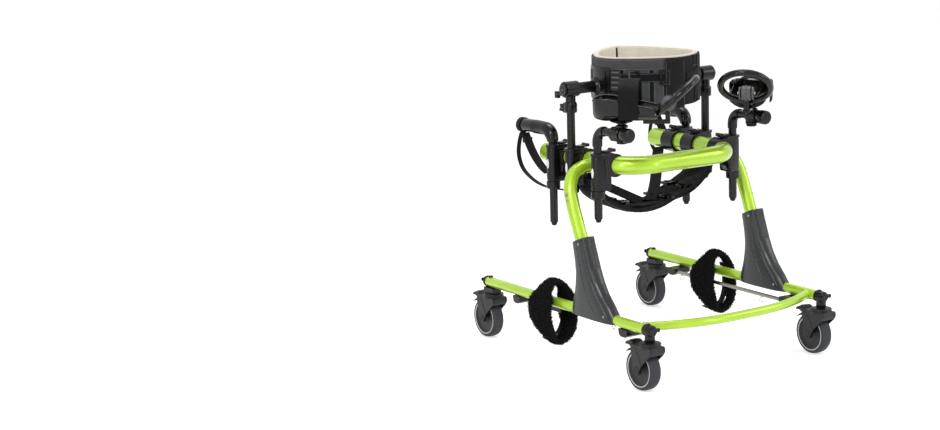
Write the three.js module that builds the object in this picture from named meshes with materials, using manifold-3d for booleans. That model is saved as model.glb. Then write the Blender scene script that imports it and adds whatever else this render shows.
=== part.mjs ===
// A four-wheeled child's gait trainer: a low wheeled base, a U-shaped upper rail on two legs that
// telescope into it, and prompts (push handles, chest ring, forearm troughs, hip sling, ankle cuffs)
// held by clamps. Millimetres, +Z up. The front faces -Y and the user's left is +X.
import * as THREE from "three";
import { mergeVertices } from "three/addons/utils/BufferGeometryUtils.js";
import Module from "manifold-3d";

const wasm = await Module();
wasm.setup();

// ---------- driving dimensions ----------
const GAP = 0.4; // clearance between touching pieces
const ROUND = 12; // sides of a round tube

const railX = 260; // base rails, from the middle of the walker
const railZ = 144;
const railR = 12.5;
const railFrontY = -313;
const railRearY = 327;
const bowR = 10.5;
const bowDepth = 58; // how far the bow stands in front of its welds
const bowWeldY = -288;

const wheelD = 100;
const wheelWidth = 30;
const wheelTrail = 25;
const axleR = 5;
const forkWidth = 44;
const forkTopZ = 112;
const stemR = 6;
const frontStemY = -328;
const rearStemY = 308;
const capR = 14;

const legR = 16;
const legLean = THREE.MathUtils.degToRad(22.7); // backwards, from upright
const socketTopZ = 300;
const socketFootY = -145;
const socketWall = 3;
const legInsertion = 110;

const upperX = 168; // upper rail
const upperZ = 482;
const upperR = 22;
const upperFrontY = -133;
const upperRearY = 192;
const upperBend = 85;
const legJoinY = -12;

const postX = 206; // prompt posts
const postR = 10;
const clampTopZ = 513;
const clampBottomZ = 412;
const clampWall = 6;
const bandWidth = 44;
const handleY = 113;
const chestY = 36;
const armY = -68;

const handleZ = 549;
const handlePostFootZ = 313;
const gripR = 16;
const gripLength = 135;

const chestZ = 655;
const chestPostFootZ = 391;
const chestArmR = 14;
const chestRingX = 128;
const chestRingY = 130;
const chestRingMidY = 10;
const chestRingBottom = 610;
const chestRingTop = 722;
const chestPadThick = 16;

const armZ = 568;
const armPostFootZ = 347;
const armReach = 117;
const armBend = 28;
const troughZ = 598;
const troughLength = 146;
const troughWidth = 92;
const troughHeight = 54;
const troughWall = 6;
const troughTurn = THREE.MathUtils.degToRad(47); // inwards, from straight ahead
const saddleY = -146;
const pivotAlong = 66; // from the elbow end of a trough to its pivot
const ringR = 58;
const ringTubeR = 8;

const rodX = 227; // ankle rods
const rodZ = 122;
const rodR = 5;
const rodFrontY = -222;
const rodRearY = 178;
const cuffY = 70;
const cuffX = 252; // a cuff hangs round the rail and the rod
const cuffZ = 118;
const cuffWide = 45;
const cuffHigh = 78;
const cuffThick = 9;

// ---------- helpers ----------
const V = (x, y, z) => new THREE.Vector3(x, y, z);

function solidOf(geometry) {
  const g = (geometry.index ? geometry.toNonIndexed() : geometry).clone();
  for (const name of Object.keys(g.attributes)) if (name !== "position") g.deleteAttribute(name);
  const merged = mergeVertices(g, 1e-3);
  return new wasm.Manifold(
    new wasm.Mesh({
      numProp: 3,
      vertProperties: merged.attributes.position.array,
      triVerts: new Uint32Array(merged.index.array),
    }),
  );
}

function geometryOf(solid) {
  const mesh = solid.getMesh();
  const g = new THREE.BufferGeometry();
  g.setAttribute("position", new THREE.BufferAttribute(new Float32Array(mesh.vertProperties), 3));
  g.setIndex(new THREE.BufferAttribute(new Uint32Array(mesh.triVerts), 1));
  g.computeVertexNormals();
  return g;
}

const join = (...pieces) => geometryOf(pieces.map(solidOf).reduce((a, b) => a.add(b)));
const meet = (a, b) => geometryOf(solidOf(a).intersect(solidOf(b)));
const cut = (body, ...tools) => geometryOf([body, ...tools].map(solidOf).reduce((a, b) => a.subtract(b)));

function mirrored(geometry) {
  const g = geometry.index ? geometry.toNonIndexed() : geometry.clone();
  const p = g.attributes.position;
  for (let i = 0; i < p.count; i += 3) {
    const second = [p.getX(i + 1), p.getY(i + 1), p.getZ(i + 1)];
    p.setXYZ(i + 1, p.getX(i + 2), p.getY(i + 2), p.getZ(i + 2));
    p.setXYZ(i + 2, ...second);
  }
  for (let i = 0; i < p.count; i++) p.setX(i, -p.getX(i));
  g.computeVertexNormals();
  return g;
}

// A round bar between two points.
function bar(from, to, radius, sides = ROUND) {
  const along = to.clone().sub(from);
  const g = new THREE.CylinderGeometry(radius, radius, along.length(), sides);
  g.applyQuaternion(new THREE.Quaternion().setFromUnitVectors(V(0, 1, 0), along.clone().normalize()));
  return g.translate(...from.clone().add(to).multiplyScalar(0.5).toArray());
}

function block(x0, x1, y0, y1, z0, z1) {
  const g = new THREE.BoxGeometry(x1 - x0, y1 - y0, z1 - z0);
  return g.translate((x0 + x1) / 2, (y0 + y1) / 2, (z0 + z1) / 2);
}

function disc(radius, sides = ROUND) {
  const shape = new THREE.Shape();
  for (let i = 0; i < sides; i++) {
    const a = (2 * Math.PI * i) / sides;
    shape[i ? "lineTo" : "moveTo"](radius * Math.cos(a), radius * Math.sin(a));
  }
  return shape;
}

// A round tube or bar bent along a curve.
function bentTube(curve, radius, steps, sides = ROUND) {
  return new THREE.ExtrudeGeometry(disc(radius, sides), { steps, extrudePath: curve, curveSegments: 1 });
}

// A flat strap along a curve through points; its width lies along the curve's binormal.
function strap(points, width, thick, steps) {
  const s = new THREE.Shape();
  s.moveTo(-thick / 2, -width / 2);
  s.lineTo(thick / 2, -width / 2);
  s.lineTo(thick / 2, width / 2);
  s.lineTo(-thick / 2, width / 2);
  return new THREE.ExtrudeGeometry(s, { steps, extrudePath: new THREE.CatmullRomCurve3(points) });
}

// A profile in the YZ plane, as [y, z] points, made as thick as x0 to x1.
function plateYZ(points, x0, x1) {
  const shape = new THREE.Shape(points.map(([y, z]) => new THREE.Vector2(y, z)));
  const g = new THREE.ExtrudeGeometry(shape, { depth: x1 - x0, bevelEnabled: false, curveSegments: 6 });
  return g.applyMatrix4(new THREE.Matrix4().set(0, 0, 1, x0, 1, 0, 0, 0, 0, 1, 0, 0, 0, 0, 0, 1));
}

// A profile in the XY plane between two heights.
function plateXY(points, z0, z1) {
  const shape = new THREE.Shape(points.map(([x, y]) => new THREE.Vector2(x, y)));
  return new THREE.ExtrudeGeometry(shape, { depth: z1 - z0, bevelEnabled: false }).translate(0, 0, z0);
}

function arcPoints(cx, cy, r, from, to, steps) {
  return Array.from({ length: steps + 1 }, (_, i) => {
    const a = THREE.MathUtils.degToRad(from + ((to - from) * i) / steps);
    return [cx + r * Math.cos(a), cy + r * Math.sin(a)];
  });
}

const lime = new THREE.MeshStandardMaterial({ color: 0x9ccf1f, roughness: 0.25, metalness: 0.4 });
const blackPlastic = new THREE.MeshStandardMaterial({ color: 0x1a1a1c, roughness: 0.45, metalness: 0 });
const greyPlastic = new THREE.MeshStandardMaterial({ color: 0x3a3b3f, roughness: 0.5, metalness: 0 });
const blackTube = new THREE.MeshStandardMaterial({ color: 0x232222, roughness: 0.35, metalness: 0.5 });
const tread = new THREE.MeshStandardMaterial({ color: 0x4a4c52, roughness: 0.7, metalness: 0 });
const steel = new THREE.MeshStandardMaterial({ color: 0xb5b2aa, roughness: 0.3, metalness: 1 });
const fabric = new THREE.MeshStandardMaterial({ color: 0x2a2b2e, roughness: 0.95, metalness: 0 });

const walker = new THREE.Group();

function node(name, geometry, material, parent = walker) {
  const mesh = new THREE.Mesh(geometry, material);
  mesh.name = name;
  parent.add(mesh);
  return mesh;
}

// Builds the same piece for the user's left (+X) and, mirrored, for the right.
function pair(name, geometry, material) {
  node(name + "_left", geometry, material);
  node(name + "_right", mirrored(geometry), material);
}

// ---------- leg line ----------
const lean = V(0, Math.sin(legLean), Math.cos(legLean)); // the direction the legs slide in
const alongLeg = (z) => V(railX, socketFootY + ((z - railZ) * lean.y) / lean.z, z);
const legTop = 398; // where the straight part of a leg ends
const legCurve = (inset) =>
  new THREE.CatmullRomCurve3([
    alongLeg(socketTopZ - legInsertion * lean.z),
    alongLeg(socketTopZ),
    alongLeg(legTop),
    alongLeg(legTop + 34).add(V(-5, 0, 0)),
    V(railX - 24, legJoinY - 1, upperZ - 22),
    V(railX - 52, legJoinY, upperZ - 8),
    V(upperX + inset, legJoinY, upperZ - 4),
  ]);

// ---------- base ----------
const railBar = bar(V(railX, railFrontY, railZ), V(railX, railRearY, railZ), railR);
const socketOuter = legR + GAP + socketWall;
const socketBore = bar(alongLeg(railZ + 20), alongLeg(socketTopZ + 20), legR + GAP, 20);
const socket = cut(bar(alongLeg(railZ + 2), alongLeg(socketTopZ), socketOuter, 20), socketBore);
const stemBore = (x, y) => bar(V(x, y, forkTopZ), V(x, y, railZ - 4), stemR + GAP, 12);
pair("base_rail", cut(join(railBar, socket), stemBore(railX, rearStemY)), lime);

const bowEndX = railX - railR - GAP;
const bow = new THREE.CatmullRomCurve3([
  V(-bowEndX, bowWeldY, railZ),
  V(-bowEndX * 0.72, bowWeldY - bowDepth * 0.55, railZ),
  V(-bowEndX * 0.35, bowWeldY - bowDepth * 0.93, railZ),
  V(0, bowWeldY - bowDepth, railZ),
  V(bowEndX * 0.35, bowWeldY - bowDepth * 0.93, railZ),
  V(bowEndX * 0.72, bowWeldY - bowDepth * 0.55, railZ),
  V(bowEndX, bowWeldY, railZ),
]);
node("front_bow", cut(bentTube(bow, bowR, 18), ...[-1, 1].map((s) =>
  bar(V(s * railX, railFrontY, railZ), V(s * railX, railRearY, railZ), railR + GAP))), lime);

// The moulded shroud over each leg socket, astride the rail.
const shroudFoot = railZ - 8;
const shroudOutline = [
  [-26, shroudFoot], [-24, railZ + 10], [-31, railZ + 26], [-44, railZ + 56], [-52, 240], [-50, 280], [-44, 307],
  [-104, 331], [-122, 290], [-148, 244], [-178, 200], [-214, 158], [-222, shroudFoot],
];
pair("leg_shroud", cut(
  plateYZ(shroudOutline, railX - 24, railX + 24),
  bar(V(railX, -400, railZ), V(railX, 200, railZ), railR + GAP),
  block(railX - railR - GAP, railX + railR + GAP, -400, 200, shroudFoot - 10, railZ),
  bar(alongLeg(railZ), alongLeg(socketTopZ + 0.5), socketOuter + GAP, 20),
  bar(alongLeg(railZ), alongLeg(socketTopZ + 80), legR + 1.2, 20),
), greyPlastic);

// ---------- casters ----------
const wheelR = wheelD / 2;
const half = wheelWidth / 2;

function wheelGeometry() {
  const bore = axleR + 0.3;
  const p = [
    [bore, -half + 1], [12, -half + 1], [14, -half + 4], [wheelR - 13, -half + 4], [wheelR - 9, -half],
    [wheelR - 3, -half + 3], [wheelR, -half + 8], [wheelR, half - 8], [wheelR - 3, half - 3],
    [wheelR - 9, half], [wheelR - 13, half - 4], [14, half - 4], [12, half - 1],
    [bore, half - 1], [bore, -half + 1],
  ].map(([r, a]) => new THREE.Vector2(r, a));
  return new THREE.LatheGeometry(p, 20).rotateZ(-Math.PI / 2).rotateX(Math.PI / 20); // a flat stands on the floor
}

function forkGeometry() {
  const cheek = [
    [-25, forkTopZ - 3], [-28, 98], [-27, 74], [-20, 66], [-2, 58], [12, 44],
    ...arcPoints(wheelTrail, wheelR, 11, 200, 340, 4),
    [39, 62], [38, 78], [43, 90], [44, 96], [44, forkTopZ - 3],
  ];
  const slot = wheelWidth / 2 + 2.5;
  const hollow = bar(V(-slot, wheelTrail, wheelR), V(slot, wheelTrail, wheelR), wheelR + 3.5, 20);
  const below = block(-slot, slot, -60, 90, -5, wheelR);
  const crown = bar(V(0, 0, forkTopZ - 8), V(0, 0, forkTopZ), 25, 20);
  const stem = bar(V(0, 0, forkTopZ - 4), V(0, 0, railZ - 6), stemR, 12);
  const axle = bar(V(-forkWidth / 2 + 1, wheelTrail, wheelR), V(forkWidth / 2 - 1, wheelTrail, wheelR), axleR, 12);
  return join(cut(plateYZ(cheek, -forkWidth / 2, forkWidth / 2), hollow, below), crown, stem, axle);
}

function brakeGeometry() {
  const outline = [
    [44.6, 103], [44.6, 111], [52, 114], [64, 112], [74, 106], [73, 101], [62, 103], [55, 98], [50, 98],
  ];
  return plateYZ(outline, -15, 15);
}

const corners = [
  ["front_right", -1, frontStemY], ["front_left", 1, frontStemY],
  ["rear_right", -1, rearStemY], ["rear_left", 1, rearStemY],
];
for (const [place, side, stemY] of corners) {
  const caster = new THREE.Group();
  caster.position.set(side * railX, stemY, 0);
  walker.add(caster);
  node("caster_fork_" + place, forkGeometry(), greyPlastic, caster);
  node("wheel_" + place, wheelGeometry(), tread, caster).position.set(0, wheelTrail, wheelR);
  node("brake_lever_" + place, brakeGeometry(), blackPlastic, caster);
}

// Rail end castings: the front ones stand beyond the rail, the rear ones wrap under it.
const mountFootZ = forkTopZ + 6;
const frontMount = (x) => cut(
  join(
    bar(V(x, frontStemY, mountFootZ), V(x, frontStemY, railZ + 15), capR),
    bar(V(x, railFrontY - 8, railZ), V(x, railFrontY - GAP, railZ), railR + 1.5),
  ),
  stemBore(x, frontStemY),
);
const rearMount = (x) => cut(
  join(
    bar(V(x, railRearY + GAP, railZ), V(x, railRearY + 9, railZ), capR),
    block(x - 13, x + 13, rearStemY - 16, railRearY + 8, mountFootZ, railZ - 10),
  ),
  bar(V(x, railFrontY, railZ), V(x, railRearY, railZ), railR + GAP),
  stemBore(x, rearStemY),
);
pair("rail_end_front", frontMount(railX), blackPlastic);
pair("rail_end_rear", rearMount(railX), blackPlastic);

// Swivel locks: small winged knobs on the rail ends.
function swivelLock(x, y, outward) {
  const hub = bar(V(x, y, railZ + 4), V(x, y + outward * 8, railZ + 4), 5.5, 12);
  const wings = block(x - 13, x + 13, Math.min(y + outward * 3, y + outward * 8), Math.max(y + outward * 3, y + outward * 8), railZ + 1, railZ + 7);
  return join(hub, wings);
}
pair("swivel_lock_front", swivelLock(railX, frontStemY - capR - GAP, -1), blackPlastic);
pair("swivel_lock_rear", swivelLock(railX, railRearY + 9 + GAP, 1), blackPlastic);

// ---------- ankle prompts ----------
// Each rod and the two brackets that hang it from the rail.
const bracket = (y0, y1) => join(
  block(rodX - 9, railX + 10, y0, y1, rodZ - 9, railZ - railR - GAP),
  block(rodX - 9, rodX + 6, y0, y1, rodZ - 9, rodZ + 9),
);
pair("ankle_rod", join(
  bar(V(rodX, rodFrontY - 20, rodZ), V(rodX, rodRearY + 20, rodZ), rodR, 12),
  bracket(rodFrontY - 34, rodFrontY),
  bracket(rodRearY, rodRearY + 30),
), steel);
// The carriage that runs on the rod, and the cuff strapped to it.
const carriage = cut(
  block(cuffX - cuffWide + cuffThick + 1.5, rodX + 11, cuffY - 22, cuffY + 22, rodZ - 12, rodZ + 9),
  bar(V(rodX, cuffY - 60, rodZ), V(rodX, cuffY + 60, rodZ), rodR + GAP, 12),
);
pair("ankle_carriage", carriage, blackPlastic);
const oval = (grow) => Array.from({ length: 24 }, (_, i) => {
  const a = (i * Math.PI) / 12;
  return V(cuffX + (cuffWide + grow) * Math.cos(a), 0, cuffZ + (cuffHigh + grow) * Math.sin(a));
});
function loopAlongY(points, y0, y1) {
  const shape = new THREE.Shape(points.map((p) => new THREE.Vector2(p.x, p.z)));
  const g = new THREE.ExtrudeGeometry(shape, { depth: y1 - y0, bevelEnabled: false });
  return g.applyMatrix4(new THREE.Matrix4().set(1, 0, 0, 0, 0, 0, -1, y1, 0, 1, 0, 0, 0, 0, 0, 1));
}
const cuffSide = [
  [cuffY + 2, cuffZ + 82], [cuffY + 35, cuffZ + 32], [cuffY + 38, cuffZ + 2], [cuffY - 10, cuffZ - 82],
  [cuffY - 50, cuffZ - 82], [cuffY - 58, cuffZ - 48], [cuffY - 53, cuffZ + 42], [cuffY - 35, cuffZ + 82],
];
pair("ankle_cuff", meet(
  cut(loopAlongY(oval(0), 0, 150), loopAlongY(oval(-cuffThick), -10, 160)),
  plateYZ(cuffSide, cuffX - cuffWide - 5, cuffX + cuffWide + 5),
), fabric);

// ---------- upper frame ----------
const bendX = upperX - upperBend;
const bendY = upperFrontY + upperBend;
const plan = new THREE.CurvePath();
const corner = (side) => {
  const points = arcPoints(side * bendX, bendY, upperBend, side < 0 ? 180 : 270, side < 0 ? 270 : 360, 9);
  return points.map(([x, y]) => V(x, y, upperZ));
};
const uPoints = [
  V(-upperX, upperRearY, upperZ), V(-upperX, 130, upperZ), V(-upperX, 60, upperZ), V(-upperX, 0, upperZ),
  ...corner(-1), V(0, upperFrontY, upperZ), ...corner(1),
  V(upperX, 0, upperZ), V(upperX, 60, upperZ), V(upperX, 130, upperZ), V(upperX, upperRearY, upperZ),
];
const uCurve = new THREE.CatmullRomCurve3(uPoints, false, "centripetal");
const uTube = bentTube(uCurve, upperR, 30, 16);
const legTube = bentTube(legCurve(0), legR, 16, 14);
node("upper_frame", join(uTube, legTube, mirrored(legTube)), lime);

// ---------- clamps and their triggers ----------
const railCutter = bentTube(uCurve, upperR + GAP, 30, 16);
function clampGeometry(y) {
  const bandR = upperR + clampWall;
  const band = bar(V(upperX, y - bandWidth / 2, upperZ), V(upperX, y + bandWidth / 2, upperZ), bandR, 24);
  const w = postR + clampWall;
  const outline = [
    [upperX, y - bandWidth / 2], [postX - 4, y - w - 2],
    ...arcPoints(postX, y, w, -60, 60, 5),
    [postX - 4, y + w + 2], [upperX, y + bandWidth / 2],
  ];
  const holder = plateXY(outline, clampBottomZ, clampTopZ);
  const undercut = block(upperX - 10, upperX + 12, y - 40, y + 40, clampBottomZ - 5, upperZ - bandR + 4);
  const foot = bar(V(postX, y, clampBottomZ - 7), V(postX, y, clampBottomZ + 1), w + 1, 18);
  return cut(join(band, cut(holder, undercut), foot), bar(V(postX, y, 300), V(postX, y, 560), postR + GAP, 20), railCutter);
}
function triggerGeometry(y) {
  return join(
    block(upperX - 8, postX - postR - 4, y - 11, y + 11, clampTopZ + GAP, clampTopZ + 4),
    block(upperX - 8, upperX + 2, y - 11, y + 11, clampTopZ + GAP, clampTopZ + 9),
  );
}
const prompts = { handle: handleY, chest: chestY, arm: armY };
for (const [name, y] of Object.entries(prompts)) {
  pair("clamp_" + name, clampGeometry(y), blackPlastic);
  pair("trigger_" + name, triggerGeometry(y), blackPlastic);
}

// ---------- push handles ----------
const handleBend = 28;
const handleElbow = arcPoints(handleY + handleBend, handleZ - handleBend, handleBend, 180, 90, 6)
  .map(([y, z]) => V(postX, y, z));
const handlePost = bar(V(postX, handleY, handlePostFootZ + 6), V(postX, handleY, handleZ - 12), postR);
const postTip = (y, footZ) => bar(V(postX, y, footZ), V(postX, y, footZ + 7), postR - 3, 12);
pair("push_handle", join(
  handlePost,
  postTip(handleY, handlePostFootZ),
  bentTube(new THREE.CatmullRomCurve3(handleElbow), gripR, 7),
  bar(handleElbow.at(-1), V(postX, handleY + gripLength, handleZ), gripR),
), blackTube);

// ---------- chest prompt ----------
const collarBottom = chestZ - 56;
pair("chest_post", join(
  bar(V(postX, chestY, chestPostFootZ + 6), V(postX, chestY, chestZ - chestArmR - 6), postR),
  postTip(chestY, chestPostFootZ),
  block(postX - 15, postX + 15, chestY - 15, chestY + 15, collarBottom, chestZ - 32),
  cut(
    bar(V(postX - 19, chestY, chestZ), V(postX + 19, chestY, chestZ), chestArmR + 5, 20),
    bar(V(postX - 40, chestY, chestZ), V(postX + 40, chestY, chestZ), chestArmR + GAP, 20),
  ),
  bar(V(postX, chestY, chestZ - 34), V(postX, chestY, chestZ - chestArmR - 1.5), 12, 12),
  bar(V(postX, chestY + 14, collarBottom + 9), V(postX, chestY + 34, collarBottom + 9), 8, 10),
), blackTube);
pair("chest_arm", join(
  bar(V(chestRingX + GAP, chestY, chestZ), V(postX + 22, chestY, chestZ), chestArmR),
  block(chestRingX + GAP, chestRingX + GAP + 6, chestRingMidY - 24, chestRingMidY + 48, chestZ - 30, chestZ + 40),
), blackPlastic);
const ellipse = (a, b) => {
  const path = new THREE.Path();
  path.absellipse(0, chestRingMidY, a, b, 0, 2 * Math.PI);
  return path.getPoints(28);
};
const ringShape = new THREE.Shape(ellipse(chestRingX, chestRingY));
ringShape.holes.push(new THREE.Path(ellipse(chestRingX - chestPadThick, chestRingY - chestPadThick)));
node("chest_pad", new THREE.ExtrudeGeometry(ringShape, { depth: chestRingTop - chestRingBottom, bevelEnabled: false })
  .translate(0, 0, chestRingBottom), fabric);

// ---------- forearm prompts ----------
const armElbow = arcPoints(armY - armBend, armZ - armBend, armBend, 0, 90, 5).map(([y, z]) => V(postX, y, z));
pair("arm_post", join(
  bar(V(postX, armY, armPostFootZ + 6), armElbow[0], postR),
  bentTube(new THREE.CatmullRomCurve3(armElbow), postR, 8),
  bar(armElbow.at(-1), V(postX, armY - armReach, armZ), postR),
  postTip(armY, armPostFootZ),
  bar(V(postX, armY - armReach - 10, armZ), V(postX, armY - armReach + 17, armZ), 17),
), blackTube);
pair("arm_saddle", cut(
  join(
    block(postX - 17, postX + 17, saddleY - 17, saddleY + 17, armZ - 16, armZ + 16),
    bar(V(postX - 10, saddleY - 4, armZ), V(postX - 10, saddleY - 4, troughZ - 4), 15, 18),
  ),
  bar(V(postX, saddleY - 60, armZ), V(postX, saddleY + 60, armZ), postR + GAP, 18),
), greyPlastic);

// A trough is built lying along +Y from its elbow, then turned about its pivot on the saddle.
const pivot = V(postX - 10, saddleY - 4, troughZ);
function placeOnPivot(g) {
  return g.translate(0, -pivotAlong, 0).rotateZ(Math.PI + troughTurn * -1).translate(pivot.x, pivot.y, 0);
}
const channel = (w, h, wall, y0, y1) => {
  const outer = new THREE.Shape(arcPoints(0, h, w / 2, 180, 360, 12).map(([x, z]) => new THREE.Vector2(x, h + (z - h) * (2 * h / w))));
  const g = new THREE.ExtrudeGeometry(outer, { depth: y1 - y0, bevelEnabled: false });
  return g.applyMatrix4(new THREE.Matrix4().set(1, 0, 0, 0, 0, 0, -1, y1, 0, 1, 0, wall, 0, 0, 0, 1));
};
const troughBody = cut(
  channel(troughWidth, troughHeight, troughZ, 0, troughLength),
  channel(troughWidth - 2 * troughWall, troughHeight, troughZ + troughWall, troughWall, troughLength + 5),
);
const mouth = block(-80, 80, 0, 2 * troughLength, 0, 60)
  .applyMatrix4(new THREE.Matrix4().makeRotationX(-0.22))
  .translate(0, 30, troughZ + troughHeight);
const ringLean = THREE.MathUtils.degToRad(48); // forwards, from upright
const ringMidAlong = 194; // ring centre, from the elbow end
const ringMidZ = 657;
const dialInPlane = 27; // the dial sits this far below the ring centre, in the ring's plane
const dialAlong = ringMidAlong - dialInPlane * Math.sin(ringLean);
const dialZ = ringMidZ - dialInPlane * Math.cos(ringLean);
const dialHalf = 12;
const dial = bar(V(-dialHalf, dialAlong, dialZ), V(dialHalf, dialAlong, dialZ), 17, 18);
const dialArm = block(-9, 9, troughLength - 30, dialAlong + 5, troughZ - 6, troughZ + 3);
const dialStem = block(-6, 6, dialAlong - 8, dialAlong + 5, troughZ, dialZ);
pair("forearm_trough", placeOnPivot(join(
  cut(troughBody, mouth), dial, dialArm, dialStem,
  bar(V(0, pivotAlong, troughZ - 4 + GAP), V(0, pivotAlong, troughZ + troughWall), 15, 16),
)), blackPlastic);
// The hand ring turns on the dial, leaning forwards.
function handRing() {
  const loop = new THREE.TorusGeometry(ringR, ringTubeR, 8, 22).rotateX(Math.PI / 2);
  const x0 = dialHalf + GAP;
  const arms = [-1, 1].flatMap((s) => [
    bar(V(s * x0, 0, -dialInPlane), V(s * (x0 + 5), 0, -dialInPlane), 15, 16),
    block(Math.min(s * x0, s * (x0 + 5)), Math.max(s * x0, s * (x0 + 5)), -5, 5, -ringR + 2, -dialInPlane),
  ]);
  return join(loop, ...arms).rotateX(-ringLean).translate(0, ringMidAlong, ringMidZ);
}
pair("hand_ring", placeOnPivot(handRing()), blackPlastic);

// ---------- hip sling ----------
const slingY = 20;
const slingCurve = [
  V(-upperX - 4, slingY, upperZ - upperR - 8 - 12), V(-upperX + 10, slingY, 402), V(-80, slingY, 364), V(0, slingY, 352),
  V(80, slingY, 364), V(upperX - 10, slingY, 402), V(upperX + 4, slingY, upperZ - upperR - 8 - 12),
];
const seatOutline = [
  ...slingCurve.map((p) => [p.x, p.z + 4]), ...slingCurve.map((p) => [p.x, p.z - 4]).reverse(),
];
const seatShape = new THREE.Shape(seatOutline.map(([x, z]) => new THREE.Vector2(x, z)));
const seat = new THREE.ExtrudeGeometry(seatShape, { depth: 90, bevelEnabled: false })
  .applyMatrix4(new THREE.Matrix4().set(1, 0, 0, 0, 0, 0, -1, slingY + 45, 0, 1, 0, 0, 0, 0, 0, 1));
const rearStrap = (s) => strap([
  V(s * upperX, upperRearY - 24, upperZ - upperR - GAP - 3), V(s * (upperX - 40), 120, 430), V(s * 95, 62, 366),
], 24, 4, 6);
const hanger = (s) => block(s * upperX - 3, s * upperX + 3, -24, 6, upperZ - upperR - 24, upperZ - upperR - GAP);
node("hip_sling", join(seat, hanger(-1), hanger(1), rearStrap(-1), rearStrap(1)), fabric);

// ---------- stand the walker on Z = 0, with its origin in the middle of its footprint ----------
const box = new THREE.Box3().setFromObject(walker);
const middle = box.getCenter(V(0, 0, 0));
for (const child of walker.children) child.position.sub(V(middle.x, middle.y, box.min.z));

export default walker;
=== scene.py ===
# %% [markdown]
# # A child's gait trainer
# The walker is a low wheeled base with a U-shaped upper rail. Everything that holds the child hangs from that
# rail by clamps. The CAD model gives the places and the joints, and this script builds the looks around it:
# smooth bent tubes, moulded casters and clamps, and soft fleece and webbing.

# %% Load the frame
import math

import bmesh
import bpy
from mathutils import Matrix, Vector, noise


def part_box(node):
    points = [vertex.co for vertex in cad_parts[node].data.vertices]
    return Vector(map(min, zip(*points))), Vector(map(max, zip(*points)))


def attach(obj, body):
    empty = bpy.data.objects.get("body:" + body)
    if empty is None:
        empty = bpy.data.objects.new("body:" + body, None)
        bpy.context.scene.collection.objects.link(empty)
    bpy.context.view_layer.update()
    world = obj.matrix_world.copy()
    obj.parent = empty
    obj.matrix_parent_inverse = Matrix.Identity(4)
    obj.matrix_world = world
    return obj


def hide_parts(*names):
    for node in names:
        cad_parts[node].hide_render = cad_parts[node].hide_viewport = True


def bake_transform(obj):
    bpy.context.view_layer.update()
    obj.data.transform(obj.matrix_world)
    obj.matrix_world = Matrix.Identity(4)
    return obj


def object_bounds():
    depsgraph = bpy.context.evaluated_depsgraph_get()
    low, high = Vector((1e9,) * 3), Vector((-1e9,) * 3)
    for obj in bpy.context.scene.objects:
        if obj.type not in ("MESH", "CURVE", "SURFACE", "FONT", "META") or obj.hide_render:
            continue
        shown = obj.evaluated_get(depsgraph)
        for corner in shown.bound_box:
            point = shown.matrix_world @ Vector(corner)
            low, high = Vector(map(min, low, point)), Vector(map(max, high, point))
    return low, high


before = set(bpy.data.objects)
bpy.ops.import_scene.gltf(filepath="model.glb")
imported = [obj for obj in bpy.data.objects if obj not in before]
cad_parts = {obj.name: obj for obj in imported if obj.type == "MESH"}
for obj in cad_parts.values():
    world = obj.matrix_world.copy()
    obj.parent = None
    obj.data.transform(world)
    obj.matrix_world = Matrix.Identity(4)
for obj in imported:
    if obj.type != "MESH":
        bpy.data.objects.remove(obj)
cad_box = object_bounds()
print("CAD box", [round(v, 3) for v in (*cad_box[0], *cad_box[1])])

# %% [markdown]
# ## Where things are
# Sizes below are millimetres measured from the floor, the middle plane (x = 0) and the middle of the base rails.
# The frame has its own origin, so one helper turns such a place into metres in the frame. It finds the offset
# from two CAD nodes that are easy to measure: a base rail and a wheel.

# %% Places
RAIL_FRONT, RAIL_REAR = -313, 327
WHEEL_RADIUS = 50
rail_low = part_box("base_rail_left")[0]
wheel_low, wheel_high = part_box("wheel_front_left")
SHIFT_Y = rail_low[1] * 1000 - RAIL_FRONT
SHIFT_Z = (wheel_low[2] + wheel_high[2]) * 500 - WHEEL_RADIUS


def at(x, y, z):
    return Vector((x, y + SHIFT_Y, z + SHIFT_Z)) / 1000


print("offset in mm", round(SHIFT_Y, 3), round(SHIFT_Z, 3))

# %% [markdown]
# ## The camera
# It stands in front and to the user's right, a little above the rail, with a long lens, and is tipped by a
# degree and a half. The walker stands to the right of the lens's middle line, which leaves room beside it.

# %% Camera
CAMERA_PLACE = at(-3045.9, -3900.5, 1305.5)
CAMERA_AZIMUTH = math.radians(-32.894)
CAMERA_ELEVATION = math.radians(11.066)
CAMERA_ROLL = math.radians(-1.638)
camera = bpy.data.objects.new("camera", bpy.data.cameras.new("camera"))
bpy.context.collection.objects.link(camera)
camera.data.sensor_width = 36
camera.data.lens = 78.75
camera.location = CAMERA_PLACE
back = Vector((
    math.sin(CAMERA_AZIMUTH) * math.cos(CAMERA_ELEVATION),
    -math.cos(CAMERA_AZIMUTH) * math.cos(CAMERA_ELEVATION),
    math.sin(CAMERA_ELEVATION),
))
right = Vector((math.cos(CAMERA_AZIMUTH), math.sin(CAMERA_AZIMUTH), 0))
up = back.cross(right)
tipped_right = right * math.cos(CAMERA_ROLL) + up * math.sin(CAMERA_ROLL)
tipped_up = up * math.cos(CAMERA_ROLL) - right * math.sin(CAMERA_ROLL)
camera.rotation_euler = Matrix((tipped_right, tipped_up, back)).transposed().to_euler()
camera.data.clip_end = 50
bpy.context.scene.camera = camera
print("camera at", [round(v, 2) for v in camera.location])

# %% [markdown]
# ## Finishes
# Every finish is built from noise on Object coordinates, because each piece's object sits at the origin and a
# pattern then keeps its real size. A finish has broad colour variation that also drives the roughness, and a
# fine speckle that makes its bump. The numbers that are the same all over go on the shader itself.

# %% A helper for finishes
def srgb(r, g, b):
    def one(c):
        c /= 255
        return c / 12.92 if c <= 0.04045 else ((c + 0.055) / 1.055) ** 2.4

    return (one(r), one(g), one(b), 1)


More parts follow.
